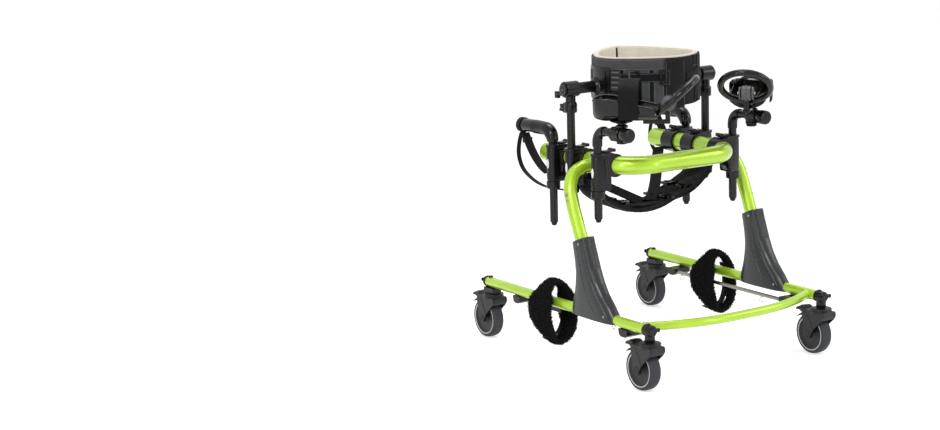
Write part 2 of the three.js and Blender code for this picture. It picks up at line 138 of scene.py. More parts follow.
def new_finish(name):
    finish = bpy.data.materials.new(name)
    finish.use_nodes = True
    tree = finish.node_tree
    return finish, tree, tree.nodes["Principled BSDF"]


def add(tree, kind, links=None, **values):
    node = tree.nodes.new(kind)
    for key, value in values.items():
        if hasattr(node, key):
            setattr(node, key, value)
        else:
            node.inputs[key.replace("_", " ")].default_value = value
    for socket, source in (links or {}).items():
        tree.links.new(source, node.inputs[socket])
    return node


def ramp(tree, source, low, high, start=0.35, end=0.65):
    node = add(tree, "ShaderNodeValToRGB", {0: source})
    node.color_ramp.elements[0].position = start
    node.color_ramp.elements[1].position = end
    node.color_ramp.elements[0].color = low
    node.color_ramp.elements[1].color = high
    return node.outputs[0]


def moulded(name, colour, roughness, grain=900, depth=0.15, spread=0.16, metallic=0.0, coat=0.0, edge_highlight=0.0,
             gloss=0.5):
    """A solid finish: colour, satin or gloss, with a fine grain, faint clouds and a painted highlight that lightens
    its convex edges.
    """
    finish, tree, shader = new_finish(name)
    where = add(tree, "ShaderNodeTexCoord").outputs["Object"]
    clouds = add(tree, "ShaderNodeTexNoise", {"Vector": where}, Scale=14.0, Detail=4.0).outputs[0]
    dark = tuple(c * (1 - spread) for c in colour[:3]) + (1,)
    light = tuple(c * (1 + spread) for c in colour[:3]) + (1,)
    tint = ramp(tree, clouds, dark, light)
    # Painted highlight: convex edges, found by pointiness, are mixed towards a lighter tint as if they caught the
    # light.
    if edge_highlight:
        edges = add(tree, "ShaderNodeNewGeometry").outputs["Pointiness"]
        edge_highlight_mask = ramp(tree, edges, (0, 0, 0, 1), (1, 1, 1, 1), 0.515, 0.6)
        amount = add(tree, "ShaderNodeMath", {0: edge_highlight_mask}, operation="MULTIPLY")
        amount.inputs[1].default_value = edge_highlight
        mix = add(tree, "ShaderNodeMix", {0: amount.outputs[0]}, data_type="RGBA")
        tree.links.new(tint, mix.inputs[6])
        mix.inputs[7].default_value = tuple(min(1, c * 2.2 + 0.02) for c in colour[:3]) + (1,)
        tint = mix.outputs[2]
    tree.links.new(tint, shader.inputs["Base Color"])
    fine = add(tree, "ShaderNodeTexNoise", {"Vector": where}, Scale=float(grain), Detail=3.0).outputs[0]
    level = add(tree, "ShaderNodeMapRange", {0: clouds})
    level.inputs[3].default_value = roughness * 0.85
    level.inputs[4].default_value = roughness * 1.2
    tree.links.new(level.outputs[0], shader.inputs["Roughness"])
    bump = add(tree, "ShaderNodeBump", {"Height": fine}, Strength=depth, Distance=0.0004)
    tree.links.new(bump.outputs[0], shader.inputs["Normal"])
    shader.inputs["Metallic"].default_value = metallic
    shader.inputs["Specular IOR Level"].default_value = gloss
    shader.inputs["Coat Weight"].default_value = coat
    shader.inputs["Coat Roughness"].default_value = 0.06
    return finish


# %% [markdown]
# The frame is sprayed with a clear-coated metallic lime. The plastics are two blacks: the clamps are satin and
# nearly black, and the leg shrouds and caster hoods are a moulded charcoal. Posts and grips are glossier.

# %% Hard finishes
lime_paint = moulded("lime_paint", srgb(176, 216, 42), 0.3, grain=2600, depth=0.04, spread=0.05, metallic=0.35,
                     coat=0.6)
# Where edge_highlight is set below, the convex edges of that plastic are lightened by a painted highlight.
satin_black = moulded("satin_black", srgb(13, 13, 13), 0.22, grain=1500, depth=0.06, edge_highlight=0.15, gloss=0.3)
charcoal = moulded("charcoal_plastic", srgb(34, 36, 38), 0.26, grain=1300, depth=0.03, spread=0.05,
                    edge_highlight=0.2, gloss=0.45)
hood_black = moulded("hood_black", srgb(24, 24, 25), 0.42, grain=1100, depth=0.25, edge_highlight=0.25, gloss=0.35)
black_tube = moulded("black_tube", srgb(12, 9, 8), 0.16, grain=2200, depth=0.03, coat=0.15, gloss=0.25)
grip_rubber = moulded("grip_rubber", srgb(13, 9, 7), 0.16, grain=700, depth=0.06, coat=0.15, gloss=0.25)
hub_grey = moulded("hub_grey", srgb(74, 75, 78), 0.42, grain=1300, depth=0.12, edge_highlight=0.2)
tyre_grey = moulded("tyre_grey", srgb(50, 52, 58), 0.6, grain=800, depth=0.35, gloss=0.35)
ring_pale = moulded("ring_pale", srgb(205, 205, 203), 0.5, grain=900, depth=0.1)
label_white = moulded("oval_white", srgb(240, 240, 240), 0.4, grain=900, depth=0.05, spread=0.03)
bright_steel = moulded("bright_steel", srgb(150, 147, 141), 0.3, grain=1800, depth=0.08, spread=0.08, metallic=1.0)
print(len(bpy.data.materials), "finishes")


# %% [markdown]
# Cloth is woven or fuzzy. The weave is two crossed sets of waves in a few directions, so it reads as thread on
# any face, and a noise breaks it up. Sheen gives the soft edge that cloth shows against the light.

# %% Soft finishes
def woven(name, colour, threads=900, depth=0.5, roughness=0.9, sheen=0.08, spread=0.2):
    finish, tree, shader = new_finish(name)
    where = add(tree, "ShaderNodeTexCoord").outputs["Object"]
    warp = add(tree, "ShaderNodeTexWave", {"Vector": where}, Scale=threads * 0.5, Distortion=1.5,
               bands_direction="DIAGONAL").outputs[1]
    weft = add(tree, "ShaderNodeTexWave", {"Vector": where}, Scale=threads * 0.5, Distortion=1.5,
               bands_direction="Z").outputs[1]
    threads_height = add(tree, "ShaderNodeMath", {0: warp, 1: weft}, operation="ADD").outputs[0]
    clouds = add(tree, "ShaderNodeTexNoise", {"Vector": where}, Scale=45.0, Detail=6.0).outputs[0]
    dark = tuple(c * (1 - spread) for c in colour[:3]) + (1,)
    light = tuple(c * (1 + spread) for c in colour[:3]) + (1,)
    cloudy = ramp(tree, clouds, dark, light, 0.3, 0.7)
    shade = add(tree, "ShaderNodeMapRange", {0: threads_height})
    shade.inputs[2].default_value = 2
    shade.inputs[3].default_value = 0.72
    shade.inputs[4].default_value = 1.1
    mix = add(tree, "ShaderNodeMix", data_type="RGBA", blend_type="MULTIPLY")
    mix.inputs[0].default_value = 1
    tree.links.new(cloudy, mix.inputs[6])
    tree.links.new(shade.outputs[0], mix.inputs[7])
    tree.links.new(mix.outputs[2], shader.inputs["Base Color"])
    bump = add(tree, "ShaderNodeBump", {"Height": threads_height}, Strength=depth, Distance=0.0006)
    tree.links.new(bump.outputs[0], shader.inputs["Normal"])
    shader.inputs["Roughness"].default_value = roughness
    shader.inputs["Sheen Weight"].default_value = sheen
    shader.inputs["Specular IOR Level"].default_value = 0.2
    return finish


black_webbing = woven("black_webbing", srgb(15, 15, 16), threads=1100)
grey_cloth = woven("grey_cloth", srgb(78, 79, 82), threads=900, spread=0.12)
dark_cloth = woven("dark_cloth", srgb(20, 20, 22), threads=900)
cream_lining = woven("cream_lining", srgb(236, 228, 212), threads=700, depth=0.35, spread=0.06)
loop_pile = woven("loop_pile", srgb(17, 17, 19), threads=2200, depth=0.9, roughness=1.0, sheen=0.08)
fleece = woven("fleece", srgb(11, 10, 10), threads=500, depth=1.0, roughness=1.0, sheen=0.03, spread=0.35)

# %% [markdown]
# ## Shapes
# Most of the walker is bent tube. A sweep carries a ring along a path without twisting it. Turned parts are a
# profile spun about a line, and moulded parts are an outline given a thickness and then rounded by a bevel.

# %% Paths
def smooth_path(points, steps=10):
    """A centripetal curve through points, as a dense list."""
    pts = [points[0] * 2 - points[1], *points, points[-1] * 2 - points[-2]]
    dense = []
    for a, b, c, d in zip(pts, pts[1:], pts[2:], pts[3:]):
        t0 = 0
        t1 = t0 + (b - a).length ** 0.5
        t2 = t1 + (c - b).length ** 0.5
        t3 = t2 + (d - c).length ** 0.5
        for i in range(steps):
            t = t1 + (t2 - t1) * i / steps
            p = a * ((t1 - t) / (t1 - t0)) + b * ((t - t0) / (t1 - t0))
            q = b * ((t2 - t) / (t2 - t1)) + c * ((t - t1) / (t2 - t1))
            r = c * ((t3 - t) / (t3 - t2)) + d * ((t - t2) / (t3 - t2))
            u = p * ((t2 - t) / (t2 - t0)) + q * ((t - t0) / (t2 - t0))
            v = q * ((t3 - t) / (t3 - t1)) + r * ((t - t1) / (t3 - t1))
            dense.append(u * ((t2 - t) / (t2 - t1)) + v * ((t - t1) / (t2 - t1)))
    return dense + [points[-1]]


def bent_path(points, radius, steps=12):
    """Straight runs between points, with every corner rounded to radius."""
    out = [points[0]]
    for a, b, c in zip(points, points[1:], points[2:]):
        u, v = (a - b).normalized(), (c - b).normalized()
        half = u.angle(v) / 2
        reach = radius / math.tan(half)
        centre = b + (u + v).normalized() * radius / math.sin(half)
        start, end = b + u * reach, b + v * reach
        for i in range(steps + 1):
            turn_by = (math.pi - 2 * half) * i / steps
            first, second = start - centre, end - centre
            across = (second - first * (second.dot(first) / first.length_squared)).normalized()
            out.append(centre + first * math.cos(turn_by) + across * radius * math.sin(turn_by))
    return out + [points[-1]]


# %% [markdown]
# Each shape is a list of corners, a list of faces and a finish. Most are rows of points joined by one skin.

# %% Sweeps, turned parts and plates
def skin(rows, around, closed=False, capped=True):
    """The faces between rows of points, where each row is a closed ring. Its ends are capped unless it closes up."""
    faces = []
    for i in range(rows if closed else rows - 1):
        j = (i + 1) % rows
        for k in range(around):
            m = (k + 1) % around
            faces.append((i * around + k, j * around + k, j * around + m, i * around + m))
    if capped and not closed:
        faces.append(tuple(range(around)))
        faces.append(tuple(reversed(range((rows - 1) * around, rows * around))))
    return faces


def sweep(path, radius, finish, sides=28, closed=False, dome=0.0):
    """A tube along a path. radius is one number or one for each point; dome rounds both ends."""
    path = [Vector(p) for p in path]
    radii = list(radius) if hasattr(radius, "__len__") else [radius] * len(path)
    if dome:
        first, last = (path[0] - path[1]).normalized(), (path[-1] - path[-2]).normalized()
        rings = [math.radians(a) for a in (20, 45, 68, 84)]
        path = [path[0] + first * dome * math.sin(a) / 1000 for a in reversed(rings)] + path
        radii = [radii[0] - dome * (1 - math.cos(a)) for a in reversed(rings)] + radii
        path += [path[-1] + last * dome * math.sin(a) / 1000 for a in rings]
        radii += [radii[-1] - dome * (1 - math.cos(a)) for a in rings]
    n = len(path)
    verts = []
    normal = None
    for i, p in enumerate(path):
        if closed:
            tangent = (path[(i + 1) % n] - path[i - 1]).normalized()
        else:
            tangent = (path[min(i + 1, n - 1)] - path[max(i - 1, 0)]).normalized()
        if normal is None:
            normal = tangent.orthogonal().normalized()
        normal = (normal - tangent * normal.dot(tangent)).normalized()
        side = tangent.cross(normal)
        for k in range(sides):
            a = 2 * math.pi * k / sides
            verts.append(p + (normal * math.cos(a) + side * math.sin(a)) * radii[i] / 1000)
    return verts, skin(n, sides, closed), finish


def turned(centre, axis, profile, finish, sides=40):
    """A profile of (radius, distance along the axis) pairs in mm, spun about the axis."""
    axis = Vector(axis).normalized()
    u = axis.orthogonal().normalized()
    v = axis.cross(u)
    verts = []
    for r, a in profile:
        for k in range(sides):
            t = 2 * math.pi * k / sides
            verts.append(centre + (axis * a + (u * math.cos(t) + v * math.sin(t)) * max(r, 0.05)) / 1000)
    return verts, skin(len(profile), sides), finish


def plate(outline, low, high, finish, plane="yz", origin=(0, 0, 0)):
    """An outline in mm in one plane, given a thickness along the third axis."""
    verts = []
    for h in (low, high):
        for a, b in outline:
            x, y, z = {"yz": (h, a, b), "xy": (a, b, h), "xz": (a, h, b)}[plane]
            verts.append(at(x + origin[0], y + origin[1], z + origin[2]))
    n = len(outline)
    faces = [(i, (i + 1) % n, n + (i + 1) % n, n + i) for i in range(n)]
    faces += [tuple(range(n)), tuple(reversed(range(n, 2 * n)))]
    return verts, faces, finish


def brick(x0, x1, y0, y1, z0, z1, finish):
    return plate([(x0, y0), (x1, y0), (x1, y1), (x0, y1)], z0, z1, finish, "xy")


def arc(cx, cy, r, start, end, steps=10):
    angles = [math.radians(start + (end - start) * i / steps) for i in range(steps + 1)]
    return [(cx + r * math.cos(a), cy + r * math.sin(a)) for a in angles]


def ribbon(points, width, thick, finish, wide=(0, 1, 0), fold=0.0, steps=10):
    """A flat strap through points: its width lies along the given direction."""
    dense = smooth_path(points, steps)
    rows, across = len(dense), 8
    verts, faces = [], []
    for i, p in enumerate(dense):
        tangent = (dense[min(i + 1, rows - 1)] - dense[max(i - 1, 0)]).normalized()
        side = Vector(wide) - tangent * Vector(wide).dot(tangent)
        side.normalize()
        up = tangent.cross(side)
        for k in range(across + 1):
            u = k / across - 0.5
            wave = fold * math.sin(u * 9 + i * 0.22) * math.cos(u * 3.0)
            for face in (-1, 1):
                verts.append(p + side * u * width / 1000 + up * (wave + face * thick / 2) / 1000)
    row = 2 * (across + 1)
    for i in range(rows - 1):
        for k in range(across):
            a = i * row + 2 * k
            faces.append((a, a + row, a + row + 2, a + 2))
            faces.append((a + 1, a + 3, a + row + 3, a + row + 1))
        for k in (0, across):
            a = i * row + 2 * k
            faces.append((a, a + 1, a + row + 1, a + row))
    for base in (0, (rows - 1) * row):
        for k in range(across):
            a = base + 2 * k
            faces.append((a, a + 2, a + 3, a + 1))
    return verts, faces, finish


def mirrored(parts):
    return [([Vector((-v.x, v.y, v.z)) for v in vs], fs, f) for vs, fs, f in parts]


# %% [markdown]
# A piece is one object made from several such shapes. Its faces are made to point outwards, smooth where the
# angle between them is small, and it may have a live bevel that rounds the hard edges of mouldings.

# %% Making a piece
def piece(name, body, parts, replaces=(), slot=None, bevel=0.0, sharp=35):
    mesh = bpy.data.meshes.new(name)
    finishes = []
    verts, faces, slots = [], [], []
    for vs, fs, finish in parts:
        if finish not in finishes:
            finishes.append(finish)
        base = len(verts)
        verts += [tuple(v) for v in vs]
        faces += [tuple(base + i for i in f) for f in fs]
        slots += [finishes.index(finish)] * len(fs)
    mesh.from_pydata(verts, [], faces)
    for finish in finishes:
        mesh.materials.append(finish)
    for polygon, index in zip(mesh.polygons, slots):
        polygon.material_index = index
    work = bmesh.new()
    work.from_mesh(mesh)
    bmesh.ops.remove_doubles(work, verts=work.verts, dist=1e-6)
    bmesh.ops.recalc_face_normals(work, faces=work.faces)
    for face in work.faces:
        face.smooth = True
    for edge in work.edges:
        if len(edge.link_faces) == 2 and edge.calc_face_angle(0) > math.radians(sharp):
            edge.smooth = False
    work.to_mesh(mesh)
    work.free()
    made = bpy.data.objects.new(name, mesh)
    bpy.context.collection.objects.link(made)
    if bevel:
        rounding = made.modifiers.new("rounding", "BEVEL")
        rounding.width = bevel / 1000
        rounding.segments = 3
        rounding.limit_method = "ANGLE"
        rounding.angle_limit = math.radians(30)
        rounding.harden_normals = True
    if body:
        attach(made, body)
    if replaces:
        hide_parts(*([replaces] if isinstance(replaces, str) else replaces))
    return made


def both(name, body, parts, replaces=None, **options):
    """The same piece on the user's left, and mirrored on the right."""
    for side, shapes in (("left", parts), ("right", mirrored(parts))):
        rides = body if body in ("base", "upper", "chest_mast", "chest_prompt") else f"{body}_{side}"
        node = f"{replaces}_{side}" if replaces else ()
        piece(f"{name}_{side}", rides, shapes, replaces=node, **options)


# %% [markdown]
# ## The base
# Two straight rails run fore and aft. Each has a leaning socket for a leg welded on, and a round bow joins
# them in front. The bow's ends get a small bead where they are welded.

# %% Base rails and bow
RAIL_X, RAIL_Z, RAIL_R = 260, 144, 12.5
SOCKET_Y, SOCKET_LOW, SOCKET_HIGH, SOCKET_R = -145, 150, 299, 18
LEAN = math.radians(22.7)
lean = Vector((0, math.sin(LEAN), math.cos(LEAN)))


def along_leg(z):
    return at(RAIL_X, SOCKET_Y + (z - RAIL_Z) * math.tan(LEAN), z)


both("rail", "base", [
    sweep([at(RAIL_X, y, RAIL_Z) for y in (RAIL_FRONT, 0, RAIL_REAR)], RAIL_R, lime_paint, dome=1.0),
    sweep([along_leg(SOCKET_LOW), along_leg(SOCKET_HIGH)], SOCKET_R, lime_paint),
], replaces="base_rail", slot="lime_paint")
BOW_END, BOW_Y, BOW_DEEP, BOW_R = 247.1, -288, 58, 10.5
bow_points = [(-1, 0), (-0.72, 0.55), (-0.35, 0.93), (0, 1), (0.35, 0.93), (0.72, 0.55), (1, 0)]
bow = smooth_path([at(x * BOW_END, BOW_Y - BOW_DEEP * y, RAIL_Z) for x, y in bow_points], 14)
bow_parts = [sweep(bow, BOW_R, lime_paint)]
for end, inner in ((bow[0], bow[2]), (bow[-1], bow[-3])):
    bow_parts.append(turned(end, inner - end, [(10, -1), (12, 0), (12.4, 1.5), (11.6, 3.2), (10.4, 4)], lime_paint))
piece("front_bow_tube", "base", bow_parts, replaces="front_bow", slot="lime_paint")

# %% [markdown]
# Each leg socket is covered by a charcoal moulding that sits astride the rail. It is slim at the top and flares
# forwards to its foot. It is lofted: a rounded section is drawn between a rear point and a front point, and the
# sections tip from level at the foot to square with the leg at the top. Two soft ribs follow the loft's own lines.

# %% Leg shrouds
REAR_LINE = [(-42, 136), (-41, 145), (-46, 162), (-54, 184), (-60, 208), (-63, 236), (-61, 262), (-56, 288),
             (-52, 305)]
FRONT_LINE = [(-216, 136), (-211, 149), (-192, 172), (-167, 197), (-147, 224), (-131, 254), (-120, 283),
              (-111, 309), (-106, 326)]
WIDE_AT_FOOT, WIDE_AT_TOP = 23, 21


def loft_point(t, s, side):
    """A place on the moulding: t runs up, s runs from its rear to its front, side is -1 or 1 (or 0: the middle)."""
    spot = t * (len(REAR_LINE) - 1)
    i = min(int(spot), len(REAR_LINE) - 2)
    f = spot - i
    rear = Vector(REAR_LINE[i]).lerp(Vector(REAR_LINE[i + 1]), f)
    front = Vector(FRONT_LINE[i]).lerp(Vector(FRONT_LINE[i + 1]), f)
    y, z = rear.lerp(front, s)
    wide = (WIDE_AT_FOOT + (WIDE_AT_TOP - WIDE_AT_FOOT) * t) * (1 - abs(2 * s - 1) ** 3.2) ** (1 / 2.6)
    return at(RAIL_X + side * wide, y, z)


def lofted_shroud(rows=56, half=30):
    verts = []
    around = 2 * half
    for t in [i / rows for i in range(rows + 1)]:
        for k in range(around):
            turn = math.pi * k / half
            s = (1 - math.cos(turn)) / 2
            verts.append(loft_point(t, s, 1 if turn < math.pi else -1))
    middle = loft_point(1, 0.5, 0)
    for inset, rise in ((0.06, 0.0015), (0.16, 0.002)):
        for k in range(around):
            edge = verts[rows * around + k]
            verts.append(edge.lerp(middle, inset) + lean * rise)
    return verts, skin(rows + 3, around), charcoal


shroud_parts = [lofted_shroud()]
for face in (-1, 1):
    for s_top, s_foot in ((0.42, 0.66), (0.8, 0.88)):
        line = []
        for i in range(29):
            t = 0.95 - 0.87 * i / 28
            s = s_top + (s_foot - s_top) * (i / 28) ** 1.5
            line.append(loft_point(t, s, face) - Vector((face * 0.0026, 0, 0)))
        shroud_parts.append(sweep(line, [2.2 + 2.0 * math.sin(math.pi * i / 28) ** 0.5 for i in range(29)], charcoal,
                                  sides=16, dome=1.6))
shroud_parts.append(turned(along_leg(305), lean, [(17, -6), (20.4, -6), (20.6, 1), (20, 2.4), (18.6, 3), (17, 3)],
                           charcoal))
both("shroud", "base", shroud_parts, replaces="leg_shroud", slot="charcoal_moulding", sharp=60)
screw = [(0.2, 0.5), (1.2, 0.5), (1.5, 0.9), (2.4, 0.8), (2.9, 0.2), (3, -2)]
both("shroud_screw", "base", [
    turned(loft_point(t, s, f) + Vector((f * 0.0004, 0, 0)), (f, 0, 0), screw, bright_steel, sides=20)
    for f in (-1, 1) for t, s in ((0.93, 0.62), (0.14, 0.83))
], slot="bright_steel")

# %% [markdown]
# ## Casters
# A swivelling caster has a moulded hood with two cheeks. The wheel turns between the cheeks on an axle, and a
# beak-shaped lever at the back locks it. The wheel is a spun profile with a pale line where tyre meets hub.

# %% Caster shapes
TRAIL, FORK_HALF = 25, 22
FRONT_CASTER, REAR_CASTER = -328, 308


def caster_parts(x, y):
    top = at(x, y, 112)
    cheek = [(-25, 109), (-28, 106), (-28, 97), (-22, 88), (-8, 76), (6, 62), (12, 52),
             *arc(TRAIL, WHEEL_RADIUS, 11.5, 200, 340, 8), (39, 62), (40, 78), (43, 88), (45, 97), (44, 109)]
    rib_line = [(30, 104), (34, 104), (20, 84), (8, 60), (5, 62), (16, 86)]
    parts = [plate(rib_line, f * FORK_HALF - 0.8, f * FORK_HALF + 0.8, hood_black, origin=(x, y, 0)) for f in (-1, 1)]
    parts += [plate(cheek, f * FORK_HALF - 2.5 - f * 2.5, f * FORK_HALF + 2.5 - f * 2.5, hood_black, origin=(x, y, 0))
             for f in (-1, 1)]
    roof = arc(TRAIL, WHEEL_RADIUS, 53.6, 44, 134, 18) + [(-24, 90), (-28, 97), (-28, 106), (-25, 109), (44, 109),
                                                          (45, 97)]
    parts.append(plate(roof, -FORK_HALF + 3, FORK_HALF - 3, hood_black, origin=(x, y, 0)))
    parts.append(turned(top, (0, 0, 1), [(8, -9), (24, -9), (26, -7), (26, -2), (24.6, -1), (24.6, 1), (26, 2),
                                         (25.4, 4),
                                         (20, 5.4), (8, 5.4), (7.5, 18)], hood_black))
    for f in (-1, 1):
        parts.append(turned(at(x + f * FORK_HALF, y + TRAIL, WHEEL_RADIUS), (f, 0, 0),
                            [(9, -1), (9.5, 0.4), (8.6, 1.2), (7, 1.2), (6.4, 0.2), (3, 0.2), (2.4, 1), (0.4, 1.4)],
                            hood_black))
    return parts


def wheel_parts(x, y):
    centre = at(x, y + TRAIL, WHEEL_RADIUS)
    tyre, line, hub = [], [], []
    for f in (-1, 1):
        hub.append([(5, f * 13), (11, f * 13.4), (12, f * 12.4), (15, f * 10.8), (34, f * 10.4), (37.4, f * 12.4),
                    (38.6, f * 13.8)])
        line.append([(38.6, f * 13.8), (39.4, f * 14.6), (40.6, f * 14.8), (41.2, f * 14.3)])
        tyre.append([(41.2, f * 14.3), (42.2, f * 15), (44.5, f * 14.9), (46.8, f * 13.6), (48.3, f * 11),
                     (49, f * 8)])
    shapes = []
    for side in (0, 1):
        shapes.append(ring_surface(centre, hub[side], hood_black))
        shapes.append(ring_surface(centre, line[side], ring_pale))
    tread = tyre[0] + [(49.3, -4), (49.38, 0), (49.3, 4)] + list(reversed(tyre[1]))
    shapes.append(ring_surface(centre, tread, tyre_grey, sides=64))
    shapes.append(ring_surface(centre, [(5, -13), (5, 13)], hood_black))
    return shapes


def ring_surface(centre, profile, finish, sides=64):
    """An open band spun about X; neighbours share its edges, so the bands close up when doubles are merged."""
    verts = []
    for r, a in profile:
        for k in range(sides):
            t = 2 * math.pi * k / sides
            verts.append(centre + Vector((a, r * math.cos(t), r * math.sin(t))) / 1000)
    return verts, skin(len(profile), sides, capped=False), finish


def lever_parts(x, y):
    beak = [(45, 104), (45, 109.5), (50, 113), (57, 113.6), (66, 111), (74, 105.6), (72.6, 102), (66, 103),
            (60, 102.6),
            (55, 100), (50, 99.4)]
    parts = [plate(beak, -14.5, 14.5, satin_black, origin=(x, y, 0))]
    for i in range(4):
        parts.append(plate([(51 + i * 4, 113), (53 + i * 4, 113), (53 + i * 4, 114.4 - i * 0.5),
                            (51 + i * 4, 114.4 - i * 0.5)],
                           -11, 11, satin_black, origin=(x, y, 0)))
    return parts


# %% [markdown]
# The four corners differ only in their place and in how the rail ends: the front castings cap the bow's welds and
# the rear ones close the rails. Each has a winged knob that stops the swivel.

# %% Four casters, rail ends and swivel locks
corners = {
    "front_right": (-RAIL_X, FRONT_CASTER), "front_left": (RAIL_X, FRONT_CASTER),
    "rear_right": (-RAIL_X, REAR_CASTER), "rear_left": (RAIL_X, REAR_CASTER),
}
for corner, (x, y) in corners.items():
    piece("hood_" + corner, "caster_" + corner, caster_parts(x, y), "caster_fork_" + corner, "charcoal_moulding",
          bevel=1.6)
    piece("tyre_" + corner, "wheel_" + corner, wheel_parts(x, y), "wheel_" + corner, "tyre")
    piece("beak_" + corner, "brake_" + corner, lever_parts(x, y), "brake_lever_" + corner, "black_moulding",
          bevel=1.0)
    front = "front" in corner
    out = -1 if front else 1
    if front:
        shapes = [
            turned(at(x, y, 118), (0, 0, 1), [(9, 0), (11, 0), (12, 2), (12, 24), (6, 26), (0, 26)], satin_black),
            turned(at(x, -341, RAIL_Z), (0, 1, 0),
                   [(0.2, 0), (10, 0.4), (12.4, 1.6), (13.6, 4), (13.9, 22), (13.9, 27), (12.6, 28)], satin_black),
            turned(at(x, -322, RAIL_Z + 11), (0, 0, 1), [(6, -1), (6, 3.4), (4.6, 5), (0, 5.4)], satin_black),
        ]
    else:
        shapes = [
            turned(at(x, RAIL_REAR, RAIL_Z), (0, 1, 0),
                   [(11, 0.4), (13.6, 0.6), (14, 2), (14, 7), (12.6, 9), (0, 9.2)], satin_black),
            brick(x - 12.8, x + 12.8, 292, 334, 118, 131, satin_black),
            turned(at(x, 318, RAIL_Z + 11), (0, 0, 1), [(6, -1), (6, 3), (4.6, 5), (0, 5.4)], satin_black),
        ]
    node = f"rail_end_{corner}"
    piece("casting_" + corner, "base", shapes, node, "black_moulding", bevel=1.0)
    knob_y = (FRONT_CASTER - 14.4) if front else 336.4
    knob = [turned(at(x, knob_y, RAIL_Z + 4), (0, out, 0), [(5, 0), (6.4, 0.6), (6.6, 6), (5, 8), (0, 8.2)],
                   satin_black)]
    for f in (-1, 1):
        wing = [(f * 4, -3.4), (f * 9, -5), (f * 12.6, -4), (f * 13.4, 0), (f * 12.6, 4), (f * 9, 5), (f * 4, 3.4)]
        low, high = sorted((knob_y + out * 2.4, knob_y + out * 7))
        knob.append(plate(wing, low, high, satin_black, "xz", (x, 0, RAIL_Z + 4)))
    piece("lock_knob_" + corner, "lock_" + corner, knob, "swivel_lock_" + corner, "black_moulding", bevel=0.8)
print("four casters")

# %% [markdown]
# ## Ankle rods and cuffs
# A bright rod hangs under each rail between two black brackets. A carriage slides on it and carries a fleece
# cuff, which is closed in a loop round the rail. The cuff is built as a band that is wide where the ankle
# rests and narrow where it fastens, then given a pile of short bristles by Geometry Nodes.

# %% Rods
ROD_X, ROD_Z, ROD_R = 227, 122, 4.8
rod_parts = [sweep([at(ROD_X, -240, ROD_Z), at(ROD_X, 196, ROD_Z)], ROD_R, bright_steel, dome=1)]
for y0, y1 in ((-256, -222), (178, 208)):
    side = [(y0, ROD_Z + 9), (y0 + 2, ROD_Z - 4), (y0 + 8, ROD_Z - 9), (y1 - 8, ROD_Z - 9), (y1 - 2, ROD_Z - 4),
            (y1, ROD_Z + 9)]
    rod_parts.append(plate(side, ROD_X - 8.6, RAIL_X + 9.6, satin_black))
for y in (-150, 160):
    loop = [at(ROD_X + 3.4 * math.cos(t), y + 7 * math.sin(t) * math.cos(t), ROD_Z - 9 + 9 * math.sin(t))
            for t in [i * math.pi / 14 for i in range(28)]]
    rod_parts.append(sweep(loop, 0.9, bright_steel, sides=8, closed=True))
both("rod", "base", rod_parts, replaces="ankle_rod", slot="bright_steel", bevel=1.2)
both("carriage", "ankle", [brick(217.6, 238, 48, 92, 110, 131, satin_black),
                           turned(at(ROD_X, 46, ROD_Z), (0, 1, 0), [(6, 0), (8, 0.4), (8, 47.6), (6, 48)],
                                  satin_black)],
     replaces="ankle_carriage", slot="black_moulding", bevel=1.5)

# %% [markdown]
# The band's two edges are given by height in short tables. Between them its skin is puffed and a little lumpy.

# %% Cuff bands
CUFF_X, CUFF_Y, CUFF_Z = 252, 70, 118
CUFF_WIDE, CUFF_HIGH, CUFF_THICK = 45, 78, 11


def between(table, z):
    for (z0, a0), (z1, a1) in zip(table, table[1:]):
        if z0 <= z <= z1:
            s = (z - z0) / (z1 - z0)
            s = s * s * (3 - 2 * s)
            return a0 + (a1 - a0) * s
    return table[0][1] if z < table[0][0] else table[-1][1]


REAR_EDGE = [(-80, -10), (-10, 34), (20, 37), (80, 4)]
FRONT_EDGE = [(-80, -48), (-48, -57), (30, -53), (80, -34)]


def cuff_band(finish, narrow, share, around=96, across=14):
    """A closed band: the outline is an oval in XZ, its edges follow the two tables, and its skin is puffed."""
    verts = []
    ring = 2 * across
    for i in range(around):
        a = 2 * math.pi * i / around
        dz = CUFF_HIGH * math.sin(a)
        y0, y1 = CUFF_Y + between(FRONT_EDGE, dz), CUFF_Y + between(REAR_EDGE, dz)
        pinch = share * min(1, max(0, narrow * math.cos(a) * 1.6 - 0.1))
        y0 += (y1 - y0) * 0.15 * pinch
        y1 -= (y1 - y0) * 0.85 * pinch
        for k in range(ring):
            t = 2 * math.pi * k / ring
            across_at = math.copysign(abs(math.cos(t)) ** 0.55, math.cos(t))
            puff = math.copysign(abs(math.sin(t)) ** 0.7, math.sin(t))
            y = (y0 + y1) / 2 + across_at * (y1 - y0) / 2
            depth = CUFF_THICK / 2 * puff * 1.08
            lumps = noise.noise(Vector((math.cos(a) * 2.2, y * 0.035, math.sin(a) * 3))) * 1.4
            r = depth + lumps * (0.5 + 0.5 * puff)
            verts.append(at(CUFF_X + (CUFF_WIDE - CUFF_THICK / 2 + r) * math.cos(a), y,
                            CUFF_Z + (CUFF_HIGH - CUFF_THICK / 2 + r) * math.sin(a)))
    return verts, skin(around, ring, closed=True), finish


# %% [markdown]
# The bristles are one small four-sided spike, set out over the band by a Geometry Nodes tree with a fixed
# seed. Each is turned to the skin's normal with a little random tilt and given a random length.

# %% Fleece by Geometry Nodes
def new_tree(name, **inputs):
    """A Geometry Nodes tree with a geometry going in and out, and the named inputs, each with its socket's kind."""
    tree = bpy.data.node_groups.new(name, "GeometryNodeTree")
    for socket, kind in {"Geometry": "Geometry", **inputs}.items():
        tree.interface.new_socket(socket, in_out="INPUT", socket_type="NodeSocket" + kind)
    tree.interface.new_socket("Geometry", in_out="OUTPUT", socket_type="NodeSocketGeometry")
    return tree, add(tree, "NodeGroupInput")


